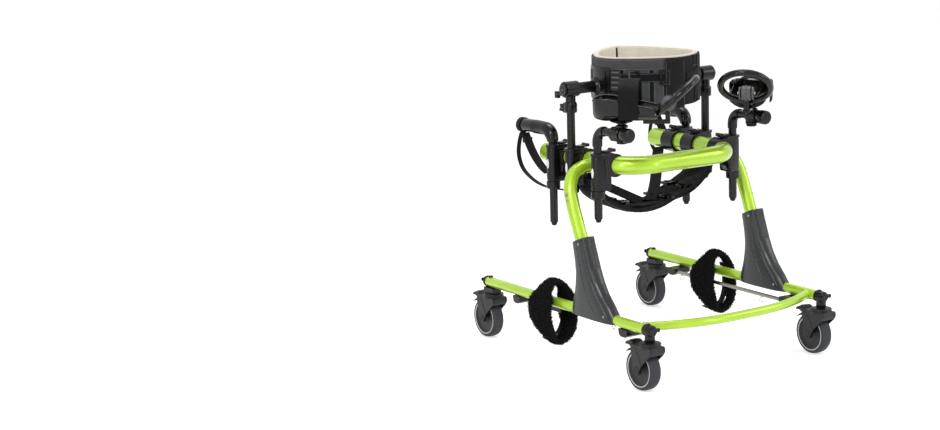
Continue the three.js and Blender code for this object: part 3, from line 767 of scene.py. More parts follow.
def bristle_tree():
    tree, start = new_tree("fleece_pile", Density="Float", Length="Float")
    scatter = add(tree, "GeometryNodeDistributePointsOnFaces",
                  {"Mesh": start.outputs["Geometry"], "Density": start.outputs["Density"]})
    scatter.inputs["Seed"].default_value = 7
    spike = add(tree, "GeometryNodeMeshCone")
    spike.inputs["Vertices"].default_value = 3
    spike.inputs["Radius Bottom"].default_value = 0.0008
    spike.inputs["Radius Top"].default_value = 0.0003
    tree.links.new(start.outputs["Length"], spike.inputs["Depth"])
    tilt = add(tree, "FunctionNodeRandomValue", data_type="FLOAT_VECTOR")
    tilt.inputs["Min"].default_value = (-0.9, -0.9, 0)
    tilt.inputs["Max"].default_value = (0.9, 0.9, 6.28)
    turned_by = add(tree, "FunctionNodeRotateEuler",
                    {"Rotation": scatter.outputs["Rotation"], "Rotate By": tilt.outputs["Value"]},
                    space="LOCAL")
    size = add(tree, "FunctionNodeRandomValue")
    size.inputs[2].default_value = 0.6
    size.inputs[3].default_value = 1.3
    stand = add(tree, "GeometryNodeInstanceOnPoints", {
        "Points": scatter.outputs["Points"], "Instance": spike.outputs["Mesh"],
        "Rotation": turned_by.outputs[0], "Scale": size.outputs[1]})
    real = add(tree, "GeometryNodeRealizeInstances", {"Geometry": stand.outputs[0]})
    paint = add(tree, "GeometryNodeSetMaterial", {"Geometry": real.outputs[0]})
    paint.inputs["Material"].default_value = fleece
    both_shapes = add(tree, "GeometryNodeJoinGeometry")
    tree.links.new(paint.outputs[0], both_shapes.inputs[0])
    tree.links.new(start.outputs["Geometry"], both_shapes.inputs[0])
    end = add(tree, "NodeGroupOutput")
    tree.links.new(both_shapes.outputs[0], end.inputs[0])
    return tree


def grown(made, tree, **values):
    """Applies a Geometry Nodes tree to a finished mesh and keeps the result as a plain mesh."""
    grow = made.modifiers.new(tree.name, "NODES")
    grow.node_group = tree
    for item in tree.interface.items_tree:
        if item.in_out == "INPUT" and item.name in values:
            grow[item.identifier] = values[item.name]
    graph = bpy.context.evaluated_depsgraph_get()
    plain = bpy.data.meshes.new_from_object(made.evaluated_get(graph))
    made.modifiers.clear()
    made.data = plain
    return made


BRISTLES_PER_SQUARE_METRE, BRISTLE_LONG = 150000.0, 0.004
pile = bristle_tree()
for side in ("left", "right"):
    narrow, share, first = (1, 0.62, 30) if side == "left" else (-1, 0.2, 150)
    shapes = [cuff_band(fleece, narrow, share)]
    if side == "right":
        shapes = mirrored(shapes)
    cuff = piece("fleece_cuff_" + side, "ankle_" + side, shapes, "ankle_cuff_" + side, "dark_textile")
    grown(cuff, pile, Density=BRISTLES_PER_SQUARE_METRE, Length=BRISTLE_LONG)
    webbing = []
    for dy in (-26, 2):
        line = [at(CUFF_X + (CUFF_WIDE - 1) * math.cos(a), CUFF_Y + dy + 5 * math.sin(2 * a),
                   CUFF_Z + (CUFF_HIGH - 1) * math.sin(a))
                for a in [math.radians(first - narrow * 150 * i / 24) for i in range(25)]]
        webbing.append(ribbon(line, 18, 1.8, black_webbing, steps=2))
        hold = line[15]
        webbing.append(turned(hold + Vector((0, -0.012, 0)), (0, 1, 0), [(3, 0), (5, 0.6), (5, 23.4), (3, 24)],
                              satin_black, sides=12))
    piece("cuff_webbing_" + side, "ankle_" + side, webbing if side == "left" else mirrored(webbing),
          slot="dark_textile")

# %% [markdown]
# ## Upper frame
# One fat tube is bent into a U that is open behind. Two slimmer legs are welded under its sides, curve outwards
# and down, and slide into the sockets of the base. Spring pins on the bend of each leg hold the height.

# %% Upper rail and legs
UPPER_X, UPPER_Z, UPPER_R = 168, 482, 22
rail_path = bent_path([at(-UPPER_X, 191, UPPER_Z), at(-UPPER_X, -133, UPPER_Z), at(UPPER_X, -133, UPPER_Z),
                       at(UPPER_X, 191, UPPER_Z)], 0.085, 20)
leg_path = smooth_path([
    along_leg(199), along_leg(300), along_leg(398), along_leg(432) + Vector((-0.005, 0, 0)),
    at(236, -13, 460), at(208, -12, 474), at(UPPER_X, -12, 478)], 12)
frame_parts = [sweep(rail_path, UPPER_R, lime_paint, sides=40)]
weld = [sweep(leg_path, 16, lime_paint, sides=32),
        turned(at(UPPER_X + 19, -12, 475.6), (1, 0, -0.1), [(15, 0), (18, 1.4), (18.4, 3), (17, 5), (16, 5.6)],
               lime_paint)]
frame_parts += weld + mirrored(weld)
piece("upper_rail", "upper", frame_parts, replaces="upper_frame", slot="lime_paint")
plug = [turned(at(UPPER_X, 190.6, UPPER_Z), (0, 1, 0),
               [(20, 0), (21.6, 0.2), (22, 1.2), (20.6, 2.6), (16, 3.2), (0.2, 3.4)], satin_black)]
both("rail_plug", "upper", plug, slot="black_moulding")
pin = [turned(along_leg(z) + Vector((0.0148, -0.003, 0)), (1, -0.25, 0.1),
              [(0, 4), (2, 3.4), (3.2, 2), (3.4, 0), (5, -0.2), (5, -1)], bright_steel, sides=20)
       for z in (404, 416)]
both("spring_pin", "upper", pin, slot="bright_steel")

# %% [markdown]
# ## Clamps
# Six black mouldings hold the posts. A band wraps the rail, and a tall sleeve outside it holds the post, with a
# collar at its foot and a lever on top. Each has a small pale oval set into its outer face.

# %% Clamps and levers
POST_X, POST_R = 206, 10
CLAMP_LOW, CLAMP_HIGH = 412, 513
stations = {"handle": 113, "chest": 36, "arm": -68}


def shouldered(outline, middle, levels):
    """A moulding with one outline, drawn in towards its middle at some heights so that its shoulders are round."""
    verts = [at(middle[0] + (a - middle[0]) * share, middle[1] + (b - middle[1]) * share, z)
             for z, share in levels for a, b in outline]
    return verts, skin(len(levels), len(outline)), satin_black


def clamp_parts(y):
    sleeve = [(UPPER_X + 14, y - 21.6), (UPPER_X + 24, y - 20.4), (POST_X - 2, y - 16.2),
              *arc(POST_X, y, 16, -68, 68, 14),
              (POST_X - 2, y + 16.2), (UPPER_X + 24, y + 20.4), (UPPER_X + 14, y + 21.6)]
    band = [(22.4, -22), (27, -22), (28, -20.6), (28, 20.6), (27, 22), (22.4, 22)]
    lip = [(UPPER_X + 6, y - 20), (POST_X - 4, y - 17.6), *arc(POST_X, y, 17.4, -70, 70, 14), (POST_X - 4, y + 17.6),
           (UPPER_X + 6, y + 20)]
    parts = [
        turned(at(UPPER_X, y, UPPER_Z), (0, 1, 0), band, satin_black, sides=48),
        shouldered(sleeve, (POST_X - 8, y), [(424, 0.93), (428, 0.97), (440, 1), (496, 1), (504, 0.97), (508, 0.9)]),
        plate(lip, 507, 513, satin_black, "xy"),
        turned(at(POST_X, y, CLAMP_LOW - 7), (0, 0, 1),
               [(10.6, 0), (15, 0), (17, 2), (17, 17), (15.6, 19), (10.6, 19)], satin_black),
    ]
    latch = [(UPPER_X + 8, 440), (UPPER_X + 15, 452), (UPPER_X + 26, 452), (UPPER_X + 26, 428), (UPPER_X + 16, 426)]
    parts.append(plate(latch, y - 9, y + 9, satin_black, "xz"))
    for f in (-1, 1):
        parts.append(plate([(UPPER_X + 20, 500), (POST_X - 6, 500), (POST_X - 10, 446), (UPPER_X + 24, 446)],
                           *sorted((y + f * 18.5, y + f * 20.6)), satin_black, "xz"))
    for z in (430, 436):
        ledge = [(px + (0.8 if px > POST_X else 0), py) for px, py in sleeve]
        parts.append(plate(ledge, z, z + 1.6, satin_black, "xy"))
    oval = [(y + 4.2 * math.cos(t), 467 + 12 * math.sin(t)) for t in [i * math.pi / 16 for i in range(32)]]
    parts.append(plate(oval, POST_X + 14.6, POST_X + 16.5, label_white))
    return parts


def trigger_parts(y):
    tongue = [(-11, 0), (11, 0), (11, 3.2), (9, 4), (-9, 4), (-11, 3.2)]
    parts = [plate(tongue, UPPER_X - 8, POST_X - POST_R - 5, satin_black, "yz", (0, y, CLAMP_HIGH + 0.5))]
    parts.append(plate([(UPPER_X - 8, 0), (UPPER_X + 3, 0), (UPPER_X + 1, 6), (UPPER_X - 3, 8.2), (UPPER_X - 8, 7)],
                       y - 10.6, y + 10.6, satin_black, "xz", (0, 0, CLAMP_HIGH + 0.5)))
    return parts


for name, y in stations.items():
    both("clamp_body_" + name, "upper", clamp_parts(y), replaces="clamp_" + name, slot="black_moulding", bevel=1.4)
    both("clamp_tongue_" + name, "trigger_" + name, trigger_parts(y), replaces="trigger_" + name,
         slot="black_moulding", bevel=0.8)
print("six clamps")


# %% [markdown]
# ## Push handles
# A slim post rises through the clamp and turns backwards into a fat soft grip. The post has a stepped tip at
# its foot, and small marks that show the height.

# %% Posts and grips
def post_tip(y, foot):
    return turned(at(POST_X, y, foot), (0, 0, 1),
                  [(0.2, 0), (4, 0.4), (6.4, 2.4), (7.4, 6), (7.6, 8), (9.6, 9), (10, 11), (10, 14)], black_tube)


def post_marks(y, low, high):
    return [turned(at(POST_X, y, z), (0, 0, 1), [(9.4, 0), (10.25, 0.3), (10.25, 0.9), (9.4, 1.2)], satin_black,
                   sides=32)
            for z in range(low, high, 13)]


HANDLE_Z, HANDLE_Y = 549, stations["handle"]
elbow = bent_path([at(POST_X, HANDLE_Y, 520.9), at(POST_X, HANDLE_Y, HANDLE_Z), at(POST_X, 247, HANDLE_Z)], 0.0279,
                  14)
fat = [11.5] + [14 + 2.4 * min(1, i / 6) for i in range(len(elbow) - 2)] + [15.2]
both("handle", "handle", [
    sweep([at(POST_X, HANDLE_Y, 325), at(POST_X, HANDLE_Y, 523)], 10, black_tube),
    post_tip(HANDLE_Y, 313),
    *post_marks(HANDLE_Y, 332, 404),
    sweep([*elbow[:-1], at(POST_X, 190, HANDLE_Z + 0.6), at(POST_X, 226, HANDLE_Z - 0.6),
           at(POST_X, 241, HANDLE_Z - 2)],
          [*fat[:-1], 15.6, 16.2, 14.6], grip_rubber, sides=36, dome=6),
    *(turned(at(POST_X, y, HANDLE_Z), (0, 1, 0), [(15, 0), (16.7, 0.5), (16.7, 1.5), (15, 2)], grip_rubber)
      for y in (150, 158, 166, 174, 182)),
], replaces="push_handle", slot="black_tube")

# %% [markdown]
# ## Chest prompt
# Two posts end in a T-shaped collar. A cross arm runs through each collar to the padded ring, and a star knob
# locks it. The ring is a thick band of grey cloth lined in cream, with plates, webbing and a wide front flap.

# %% Chest posts and arms
CHEST_Y, CHEST_Z = stations["chest"], 655


def star_knob(centre, axis, radius, depth, lobes=5):
    axis = Vector(axis).normalized()
    u = axis.orthogonal().normalized()
    v = axis.cross(u)
    steps = lobes * 12
    verts = []
    levels = [(0.8, 0), (1, 0.15), (1, 0.8), (0.8, 1)]
    for shrink, level in levels:
        for k in range(steps):
            t = 2 * math.pi * k / steps
            r = radius * shrink * (0.84 + 0.16 * math.cos(lobes * t))
            verts.append(centre + (axis * depth * level + (u * math.cos(t) + v * math.sin(t)) * r) / 1000)
    return verts, skin(len(levels), steps), satin_black


both("chest_mast", "chest_mast", [
    sweep([at(POST_X, CHEST_Y, 403), at(POST_X, CHEST_Y, 636)], 10, black_tube),
    post_tip(CHEST_Y, 391),
    *post_marks(CHEST_Y, 526, 596),
    turned(at(POST_X, CHEST_Y, 599), (0, 0, 1),
           [(10.4, 0), (14, 0), (15.4, 2), (15.4, 20), (14, 24), (12, 26), (12, 44)], satin_black),
    turned(at(POST_X - 19, CHEST_Y, CHEST_Z), (1, 0, 0),
           [(14.4, 0), (18, 0), (19, 1.4), (19, 36.6), (18, 38), (14.4, 38)], satin_black),
    brick(POST_X - 12, POST_X + 12, CHEST_Y + 8, CHEST_Y + 15, 602, 622, satin_black),
    sweep([at(POST_X, CHEST_Y + 14, 608), at(POST_X, CHEST_Y + 24, 608)], 4, bright_steel, sides=16),
    star_knob(at(POST_X, CHEST_Y + 22, 608), (0, 1, 0), 13, 11),
], replaces="chest_post", slot="black_tube", bevel=1.2)
both("cross_arm", "chest_prompt", [
    sweep([at(132, CHEST_Y, CHEST_Z), at(228, CHEST_Y, CHEST_Z)], 14, satin_black, dome=2, sides=32),
    turned(at(224, CHEST_Y + 4, CHEST_Z - 12), (0, 1, 0), [(3, 0), (4, 1), (4, 26), (3, 27)], satin_black, sides=16),
    brick(220, 228, CHEST_Y + 22, CHEST_Y + 34, CHEST_Z - 22, CHEST_Z - 6, satin_black),
    turned(at(229, CHEST_Y, CHEST_Z), (1, 0, 0),
           [(12, -1), (12.4, 0.6), (10, 1.4), (9.4, 0.6), (4, 0.6), (3, 1.6), (0.2, 1.8)], hub_grey),
    turned(at(128.6, CHEST_Y, CHEST_Z), (1, 0, 0), [(20, 0), (22, 1), (21.4, 5), (17, 8), (14.4, 12)], satin_black),
], replaces="chest_arm", slot="black_moulding")

# %% [markdown]
# The ring is an oval about the walker's middle, and every strip on it is placed by an angle, a height and how
# far it stands out from the ring's face.

# %% Padded ring
RING_X, RING_Y, RING_MID = 128, 130, 10
RING_LOW, RING_HIGH, RING_THICK = 610, 727, 14


def ring_point(angle, out, z):
    """A place on the ring. Its rim rises behind and dips over the user's arms, and more so near the top."""
    a = math.radians(angle)
    high = max(0, (z - RING_LOW) / (RING_HIGH - RING_LOW))
    z += high * (2.2 * math.cos(2 * a) - 1.2 * math.cos(3 * a) + 1.5 * math.exp(-((angle % 360 - 180) / 9) ** 2))
    out += 1.2 * math.sin(3 * a + 0.6) * (1 - high * 0.5)
    return at((RING_X + out) * math.sin(a), RING_MID - (RING_Y + out) * math.cos(a), z)


def band_on_ring(start, end, low, high, inner, outer, finish, steps=None, swell=0.0, rounding=2.0):
    """A strip of the ring from one angle to another (0 is the front, 90 the user's left)."""
    steps = steps or max(4, int(abs(end - start) / 3))
    whole = abs(end - start) >= 360
    n = steps if whole else steps + 1
    verts, section = [], []
    tall, deep = high - low, outer - inner
    for k in range(28):
        t = 2 * math.pi * k / 28
        c, s = math.cos(t), math.sin(t)
        section.append((inner + deep / 2 + math.copysign(abs(c) ** 0.45, c) * deep / 2,
                        low + tall / 2 + math.copysign(abs(s) ** 0.3, s) * tall / 2))
    for i in range(n):
        angle = start + (end - start) * i / steps
        for out, z in section:
            puff = swell * math.sin(math.pi * (z - low) / tall) if out > inner + deep / 2 else 0
            verts.append(ring_point(angle, out + puff, z))
    return verts, skin(n, len(section), closed=whole), finish


ring_pad = piece("chest_ring_pad", "chest_prompt", [
    band_on_ring(0, 360, RING_LOW, RING_HIGH - 1, -RING_THICK, -0.5, dark_cloth, steps=120, swell=0.6),
], replaces="chest_pad", slot="dark_textile")
lining = piece("chest_ring_lining", "chest_prompt", [
    band_on_ring(4, 178, RING_LOW + 1, RING_HIGH, -RING_THICK - 3, -RING_THICK + 3, cream_lining, steps=60),
    band_on_ring(182, 356, RING_LOW + 1, RING_HIGH, -RING_THICK - 3, -RING_THICK + 3, cream_lining, steps=60),
    band_on_ring(0, 360, RING_HIGH - 3.5, RING_HIGH + 1.5, -RING_THICK - 1, -3.5, cream_lining, steps=120),
], slot="dark_textile")
piece("chest_ring_panels", "chest_prompt", [
    band_on_ring(-126, -17, 698, RING_HIGH - 1, -2.6, 1.4, grey_cloth, steps=60),
    band_on_ring(22, 126, 698, RING_HIGH - 1, -2.6, 1.0, dark_cloth, steps=60),
    *(band_on_ring(a, b, 620, 700, -1, 1.2, grey_cloth, swell=1.6) for a, b in ((-62, -50), (-46, -34), (-30, -19))),
    band_on_ring(24, 56, 618, 696, -1, 1.6, dark_cloth, swell=1.5),
    band_on_ring(124, 236, 616, 724, -1, 0.9, dark_cloth, steps=60, swell=1.0),
], slot="dark_textile")
piece("chest_ring_straps", "chest_prompt", [
    band_on_ring(-66, -14, 670, 692, 1.4, 3.4, black_webbing),
    band_on_ring(-18, 5, 606, RING_HIGH - 4, 0.6, 4.6, loop_pile, swell=0.8),
    band_on_ring(9, 64, 662, 688, 0.6, 2.8, black_webbing),
    band_on_ring(30, 40, 614, 724, 0.6, 3.4, black_webbing),
    band_on_ring(104, 256, 652, 684, 0.4, 2.8, black_webbing, steps=60),
    *(band_on_ring(a, a + 3.4, 622, 696, 1.2, 2.6, black_webbing) for a in (-49.5, -33.5)),
], slot="dark_textile")
block_faces = []
for s in (-1, 1):
    block_faces += [
        band_on_ring(s * 78, s * 120, 622, 704, 0.8, 4.4, satin_black),
        band_on_ring(s * 84, s * 88, 632, 696, 3.4, 6.2, satin_black),
        band_on_ring(s * 112, s * 116, 632, 696, 3.4, 6.2, satin_black),
        band_on_ring(s * 64, s * 77, 650, 700, 1.2, 5.0, satin_black),
    ]
    block_faces += [band_on_ring(s * 66, s * 75, z, z + 4, 4.4, 6.4, hub_grey) for z in (656, 668, 680, 692)]
for a in (-56, -24):
    block_faces += [
        band_on_ring(a, a + 2.2, 664, 698, 2.6, 6.4, satin_black),
        band_on_ring(a + 9, a + 11.2, 664, 698, 2.6, 6.4, satin_black),
        band_on_ring(a, a + 11.2, 694, 699, 2.6, 6.4, satin_black),
        band_on_ring(a, a + 11.2, 663, 668, 2.6, 6.4, satin_black),
    ]
piece("chest_ring_plates", "chest_prompt", block_faces, slot="black_moulding")


# %% [markdown]
# Rows of stitches hold the panels to the ring. Each row is first drawn as a line of edges that follows the
# cloth. A Geometry Nodes tree walks along it at an even spacing and lays one small thread on each step.

# %% Stitches by Geometry Nodes
STITCH_SPACING, STITCH_LONG, THREAD_RADIUS = 0.0042, 0.0028, 0.00035
thread = woven("pale_thread", srgb(150, 150, 152), threads=2600, depth=0.3, spread=0.08)


def stitch_tree():
    tree, start = new_tree("stitches", Spacing="Float", Stitch="Float", Thread="Float")
    line = add(tree, "GeometryNodeMeshToCurve", {"Mesh": start.outputs["Geometry"]})
    steps = add(tree, "GeometryNodeCurveToPoints", {"Curve": line.outputs[0], "Length": start.outputs["Spacing"]},
                mode="LENGTH")
    bead = add(tree, "GeometryNodeMeshCylinder",
               {"Radius": start.outputs["Thread"], "Depth": start.outputs["Stitch"]})
    bead.inputs["Vertices"].default_value = 6
    along = add(tree, "FunctionNodeAlignEulerToVector", {"Vector": steps.outputs["Tangent"]}, axis="Z")
    laid = add(tree, "GeometryNodeInstanceOnPoints", {
        "Points": steps.outputs[0], "Instance": bead.outputs["Mesh"], "Rotation": along.outputs[0]})
    real = add(tree, "GeometryNodeRealizeInstances", {"Geometry": laid.outputs[0]})
    paint = add(tree, "GeometryNodeSetMaterial", {"Geometry": real.outputs[0]})
    paint.inputs["Material"].default_value = thread
    end = add(tree, "NodeGroupOutput", {0: paint.outputs[0]})
    return tree


def stitched(name, body, lines):
    """Stitches along open lines of edges, as a plain mesh."""
    verts, edges = [], []
    for line in lines:
        base = len(verts)
        verts += [tuple(p) for p in line]
        edges += [(base + i, base + i + 1) for i in range(len(line) - 1)]
    mesh = bpy.data.meshes.new(name)
    mesh.from_pydata(verts, edges, [])
    made = bpy.data.objects.new(name, mesh)
    bpy.context.collection.objects.link(made)
    mesh.materials.append(thread)
    grown(made, stitches, Spacing=STITCH_SPACING, Stitch=STITCH_LONG, Thread=THREAD_RADIUS)
    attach(made, body)
    return made


stitches = stitch_tree()


def level_row(start, end, z, out):
    return [ring_point(start + (end - start) * i / 40, out, z) for i in range(41)]


def upright_row(angle, low, high, out):
    return [ring_point(angle, out, low + (high - low) * i / 12) for i in range(13)]


made = stitched("chest_ring_stitches", "chest_prompt", [
    level_row(-126, -18, 701, 1.7), level_row(-126, -18, RING_HIGH - 5, 1.5), level_row(22, 126, 701, 1.3),
    level_row(-66, -14, 672, 3.6), level_row(-66, -14, 690, 3.6),
    *(upright_row(a, 624, 697, 2.6) for a in (-61, -51, -45, -35, -29, -20)),
    *(upright_row(a, 612, 718, 5.0) for a in (-17, 4)), *(upright_row(a, 618, 720, 3.6) for a in (31, 39)),
    level_row(106, 254, 655, 3.0), level_row(106, 254, 681, 3.0),
])
print("stitches", len(made.data.polygons), "faces")


# %% [markdown]
# ## Forearm prompts
# A bent post carries a small saddle, and a glossy trough turns on it. At the trough's front a toothed dial
# holds a hand ring. The trough is built along its own line first and then turned into place.

# %% Arm posts and saddles
ARM_Y, ARM_Z = stations["arm"], 568
arm_elbow = bent_path([at(POST_X, ARM_Y, 359), at(POST_X, ARM_Y, ARM_Z), at(POST_X, -194, ARM_Z)], 0.028, 14)
both("arm_mast", "arm_mast", [
    sweep(arm_elbow, 10, black_tube, sides=28),
    post_tip(ARM_Y, 347),
    *post_marks(ARM_Y, 366, 404),
    sweep(bent_path([at(POST_X, ARM_Y, 530), at(POST_X, ARM_Y, ARM_Z), at(POST_X, -97.5, ARM_Z)], 0.028, 12), 12,
          satin_black),
    turned(at(POST_X, -195, ARM_Z), (0, 1, 0),
           [(0.2, 0), (6, 0.4), (7, 1.4), (13, 1), (16, 2.4), (17, 5), (17, 22), (15, 26), (11, 27)], satin_black),
], replaces="arm_post", slot="black_tube")
PIVOT_X, PIVOT_Y, PIVOT_Z = 196, -150, 598
both("saddle", "saddle", [
    turned(at(POST_X, -163, ARM_Z), (0, 1, 0),
           [(10.5, 0), (14.6, 0), (16, 1.4), (16, 9), (15, 10), (15, 24), (16, 25), (16, 32.6),
                                               (14.6, 34), (10.5, 34)], satin_black),
    brick(POST_X - 15, POST_X + 12, -158, -134, ARM_Z - 15.5, ARM_Z + 2, satin_black),
    turned(at(PIVOT_X, PIVOT_Y, 572), (0, 0, 1),
           [(8, 0), (14.6, 0.6), (15, 4), (10, 6), (9, 9), (14.6, 11), (15, 15), (10, 17),
                                                 (9, 19), (13, 20), (13, 21.6)], satin_black),
    turned(at(PIVOT_X, PIVOT_Y, 556), (0, 0, -1), [(9, -4), (9, 1), (14, 2), (14.4, 5), (7, 6), (6, 9), (0.2, 9)],
           satin_black),
    star_knob(at(PIVOT_X, PIVOT_Y, 550), (0, 0, -1), 13, 6, lobes=7),
], replaces="arm_saddle", slot="charcoal_moulding")

# %% [markdown]
# Everything on the trough uses the trough's own directions: across it, along it from the elbow, and up.

# %% Troughs
TROUGH_LONG, TROUGH_WIDE, TROUGH_HIGH = 146, 92, 54
ELBOW_LONG, RIM_INSET = 34, 2.2
PIVOT_ALONG = 66
TROUGH_TURN = math.radians(180 - 47)
RING_LEAN = math.radians(48)
on_pivot = (Matrix.Translation(at(PIVOT_X, PIVOT_Y, 0)) @ Matrix.Rotation(TROUGH_TURN, 4, "Z")
            @ Matrix.Translation(Vector((0, -PIVOT_ALONG / 1000, 0))))


def local(x, along, z):
    return on_pivot @ (Vector((x, along, z)) / 1000)


def hull(along, s):
    """How closed the elbow end is at a place along the trough, and the trough's half width and height there."""
    cup = math.sqrt(max(0.0, 1 - (1 - min(along / ELBOW_LONG, 1)) ** 2))
    half = TROUGH_WIDE / 2 * (0.30 + 0.70 * cup)
    high = TROUGH_HIGH * (1 - 0.42 * max(0, s - 0.25) / 0.75) * (0.9 + 0.1 * cup)
    return cup, half, high


def trough_shell(wall, finish):
    """A hull-shaped shell: rounded and deep at the elbow, open and shallower in front."""
    long, around = 40, 28
    outer, inner = [], []
    for i in range(long + 1):
        s = i / long
        along = TROUGH_LONG * s
        cup, half, high = hull(along, s)
        floor = PIVOT_Z + 14 * (1 - cup)
        for skin, inset in ((outer, 0), (inner, wall)):
            for k in range(around + 1):
                a = math.pi + math.pi * k / around
                x = (half - inset) * math.cos(a)
                z = PIVOT_Z + high + (high - inset - (floor - PIVOT_Z)) * math.sin(a)
                skin.append(local(x, max(along, 0.6 + inset * (1 - s)), z))
    verts = outer + inner
    faces = []
    row, off = around + 1, len(outer)
    for i in range(long):
        for k in range(around):
            a, b, c, d = i * row + k, (i + 1) * row + k, (i + 1) * row + k + 1, i * row + k + 1
            faces.append((a, b, c, d))
            faces.append((off + a, off + d, off + c, off + b))
        for k in (0, around):
            a, b = i * row + k, (i + 1) * row + k
            faces.append((a, off + a, off + b, b))
    for k in range(around):
        for i in (0, long):
            a, b = i * row + k, i * row + k + 1
            faces.append((a, b, off + b, off + a))
    faces.append(tuple(range(row)))
    return verts, faces, finish


def trough_strap(along, width, top):
    """The pile strap that goes round the trough and arches over it."""
    path = [(-47, PIVOT_Z + 8), (-48.5, PIVOT_Z + 30), (-47.5, PIVOT_Z + 56), (-40, top - 14), (-22, top - 3),
            (0, top), (22, top - 3), (40, top - 14), (47.5, PIVOT_Z + 56), (48.5, PIVOT_Z + 30), (47, PIVOT_Z + 8)]
    verts = []
    dense = smooth_path([Vector((x, 0, z)) for x, z in path], 6)
    for i, p in enumerate(dense):
        q = dense[min(i + 1, len(dense) - 1)] - dense[max(i - 1, 0)]
        out = Vector((-q.z, 0, q.x)).normalized() * 1.4
        for edge, shift in ((-width / 2, -out), (width / 2, -out), (width / 2, out), (-width / 2, out)):
            spot = p + shift
            verts.append(local(spot.x, along + edge, spot.z))
    return verts, skin(len(dense), 4), loop_pile


BOX_FACES = [(0, 1, 5, 4), (1, 2, 6, 5), (2, 3, 7, 6), (3, 0, 4, 7), (3, 2, 1, 0), (4, 5, 6, 7)]


def local_brick(x0, x1, y0, y1, z0, z1, finish):
    verts = [local(x, y, z) for z in (z0, z1) for x, y in ((x0, y0), (x1, y0), (x1, y1), (x0, y1))]
    return verts, BOX_FACES, finish


DIAL_DROP = 27
RING_ALONG, RING_CENTRE_Z = 194, 657
dial_along = RING_ALONG - DIAL_DROP * math.sin(RING_LEAN)
dial_z = RING_CENTRE_Z - DIAL_DROP * math.cos(RING_LEAN)
across_axis = on_pivot.to_3x3() @ Vector((1, 0, 0))
turn_only = on_pivot.to_3x3().to_4x4()


dial = [(0.2, -11.6), (5, -12), (6, -11), (12, -11.4), (16.4, -10.6), (17, -9), (17, 9), (16.4, 10.6), (12, 11.4),
        (6, 11), (5, 12), (0.2, 11.6)]
rim = []
for side in (-1, 1):
    for i in range(41):
        s = i / 40 if side == 1 else 1 - i / 40
        along = TROUGH_LONG * s
        _, half, high = hull(along, s)
        rim.append(local(side * (half - RIM_INSET), max(along, 1.4), PIVOT_Z + high))
trough_parts = [trough_shell(4.5, grip_rubber), sweep(rim, 2.9, grip_rubber, sides=14, dome=1)]
trough_parts += [local_brick(-12, 12, 108, 138, PIVOT_Z + 3, PIVOT_Z + 9, satin_black)]
arm_parts = [
    turned(local(0, dial_along, dial_z), across_axis, dial, hub_grey),
    local_brick(-8.5, 8.5, TROUGH_LONG - 30, dial_along + 4, PIVOT_Z - 6, PIVOT_Z + 2.5, satin_black),
    local_brick(-5.5, 5.5, dial_along - 7, dial_along + 4, PIVOT_Z - 2, dial_z, satin_black),
    turned(local(0, PIVOT_ALONG, PIVOT_Z - 4), (0, 0, 1), [(10, 0.4), (20, 0.6), (26, 2.5), (30, 6), (20, 9)],
           satin_black),
]
both("trough", "trough", trough_parts, replaces="forearm_trough", slot="black_moulding", sharp=50)
both("trough_dial", "trough", arm_parts, slot="black_moulding", bevel=0.8)
both("trough_screws", "trough", [
    turned(local(x, along, PIVOT_Z + 9), (0, 0, 1), [(2.6, -1), (2.8, 0.4), (2, 1.2), (0.2, 1.4)], bright_steel,
           sides=16)
    for x, along in ((-7, 114), (7, 114), (-7, 132), (7, 132))
] + [turned(local(f * 20.4, 0, 0) + local(0, dial_along, dial_z) - local(0, 0, 0), across_axis * f,
            [(3.2, -3.6), (3.2, 0.4), (2.2, 1), (0.2, 1.1)], bright_steel,
            sides=16) for f in (-1, 1)], slot="bright_steel")
for side, top, spot in (("left", 664, 70), ("right", 695, 86)):
    band = [trough_strap(spot, 46, top)]
    piece("trough_strap_" + side, "trough_" + side, band if side == "left" else mirrored(band), slot="dark_textile")

# %% [markdown]
# The dial is toothed, so that it holds the ring at a set tilt. A Geometry Nodes tree stands one small tooth at
# each of a number of equal steps round a circle, and the result is carried to each dial.

# %% Dial teeth by Geometry Nodes
def teeth_tree():
    tree, start = new_tree("dial_teeth", Count="Int", Radius="Float", Width="Float")
    ring = add(tree, "GeometryNodeCurvePrimitiveCircle", {"Resolution": start.outputs["Count"],
                                                          "Radius": start.outputs["Radius"]})
    spots = add(tree, "GeometryNodeCurveToPoints", {"Curve": ring.outputs[0]}, mode="EVALUATED")
    size = add(tree, "ShaderNodeCombineXYZ", {2: start.outputs["Width"]})
    size.inputs[0].default_value = 0.0018
    size.inputs[1].default_value = 0.0024
    tooth = add(tree, "GeometryNodeMeshCube", {"Size": size.outputs[0]})
    stood = add(tree, "GeometryNodeInstanceOnPoints", {
        "Points": spots.outputs[0], "Instance": tooth.outputs["Mesh"], "Rotation": spots.outputs["Rotation"]})
    real = add(tree, "GeometryNodeRealizeInstances", {"Geometry": stood.outputs[0]})
    paint = add(tree, "GeometryNodeSetMaterial", {"Geometry": real.outputs[0]})
    paint.inputs["Material"].default_value = hub_grey
    add(tree, "NodeGroupOutput", {0: paint.outputs[0]})
    return tree


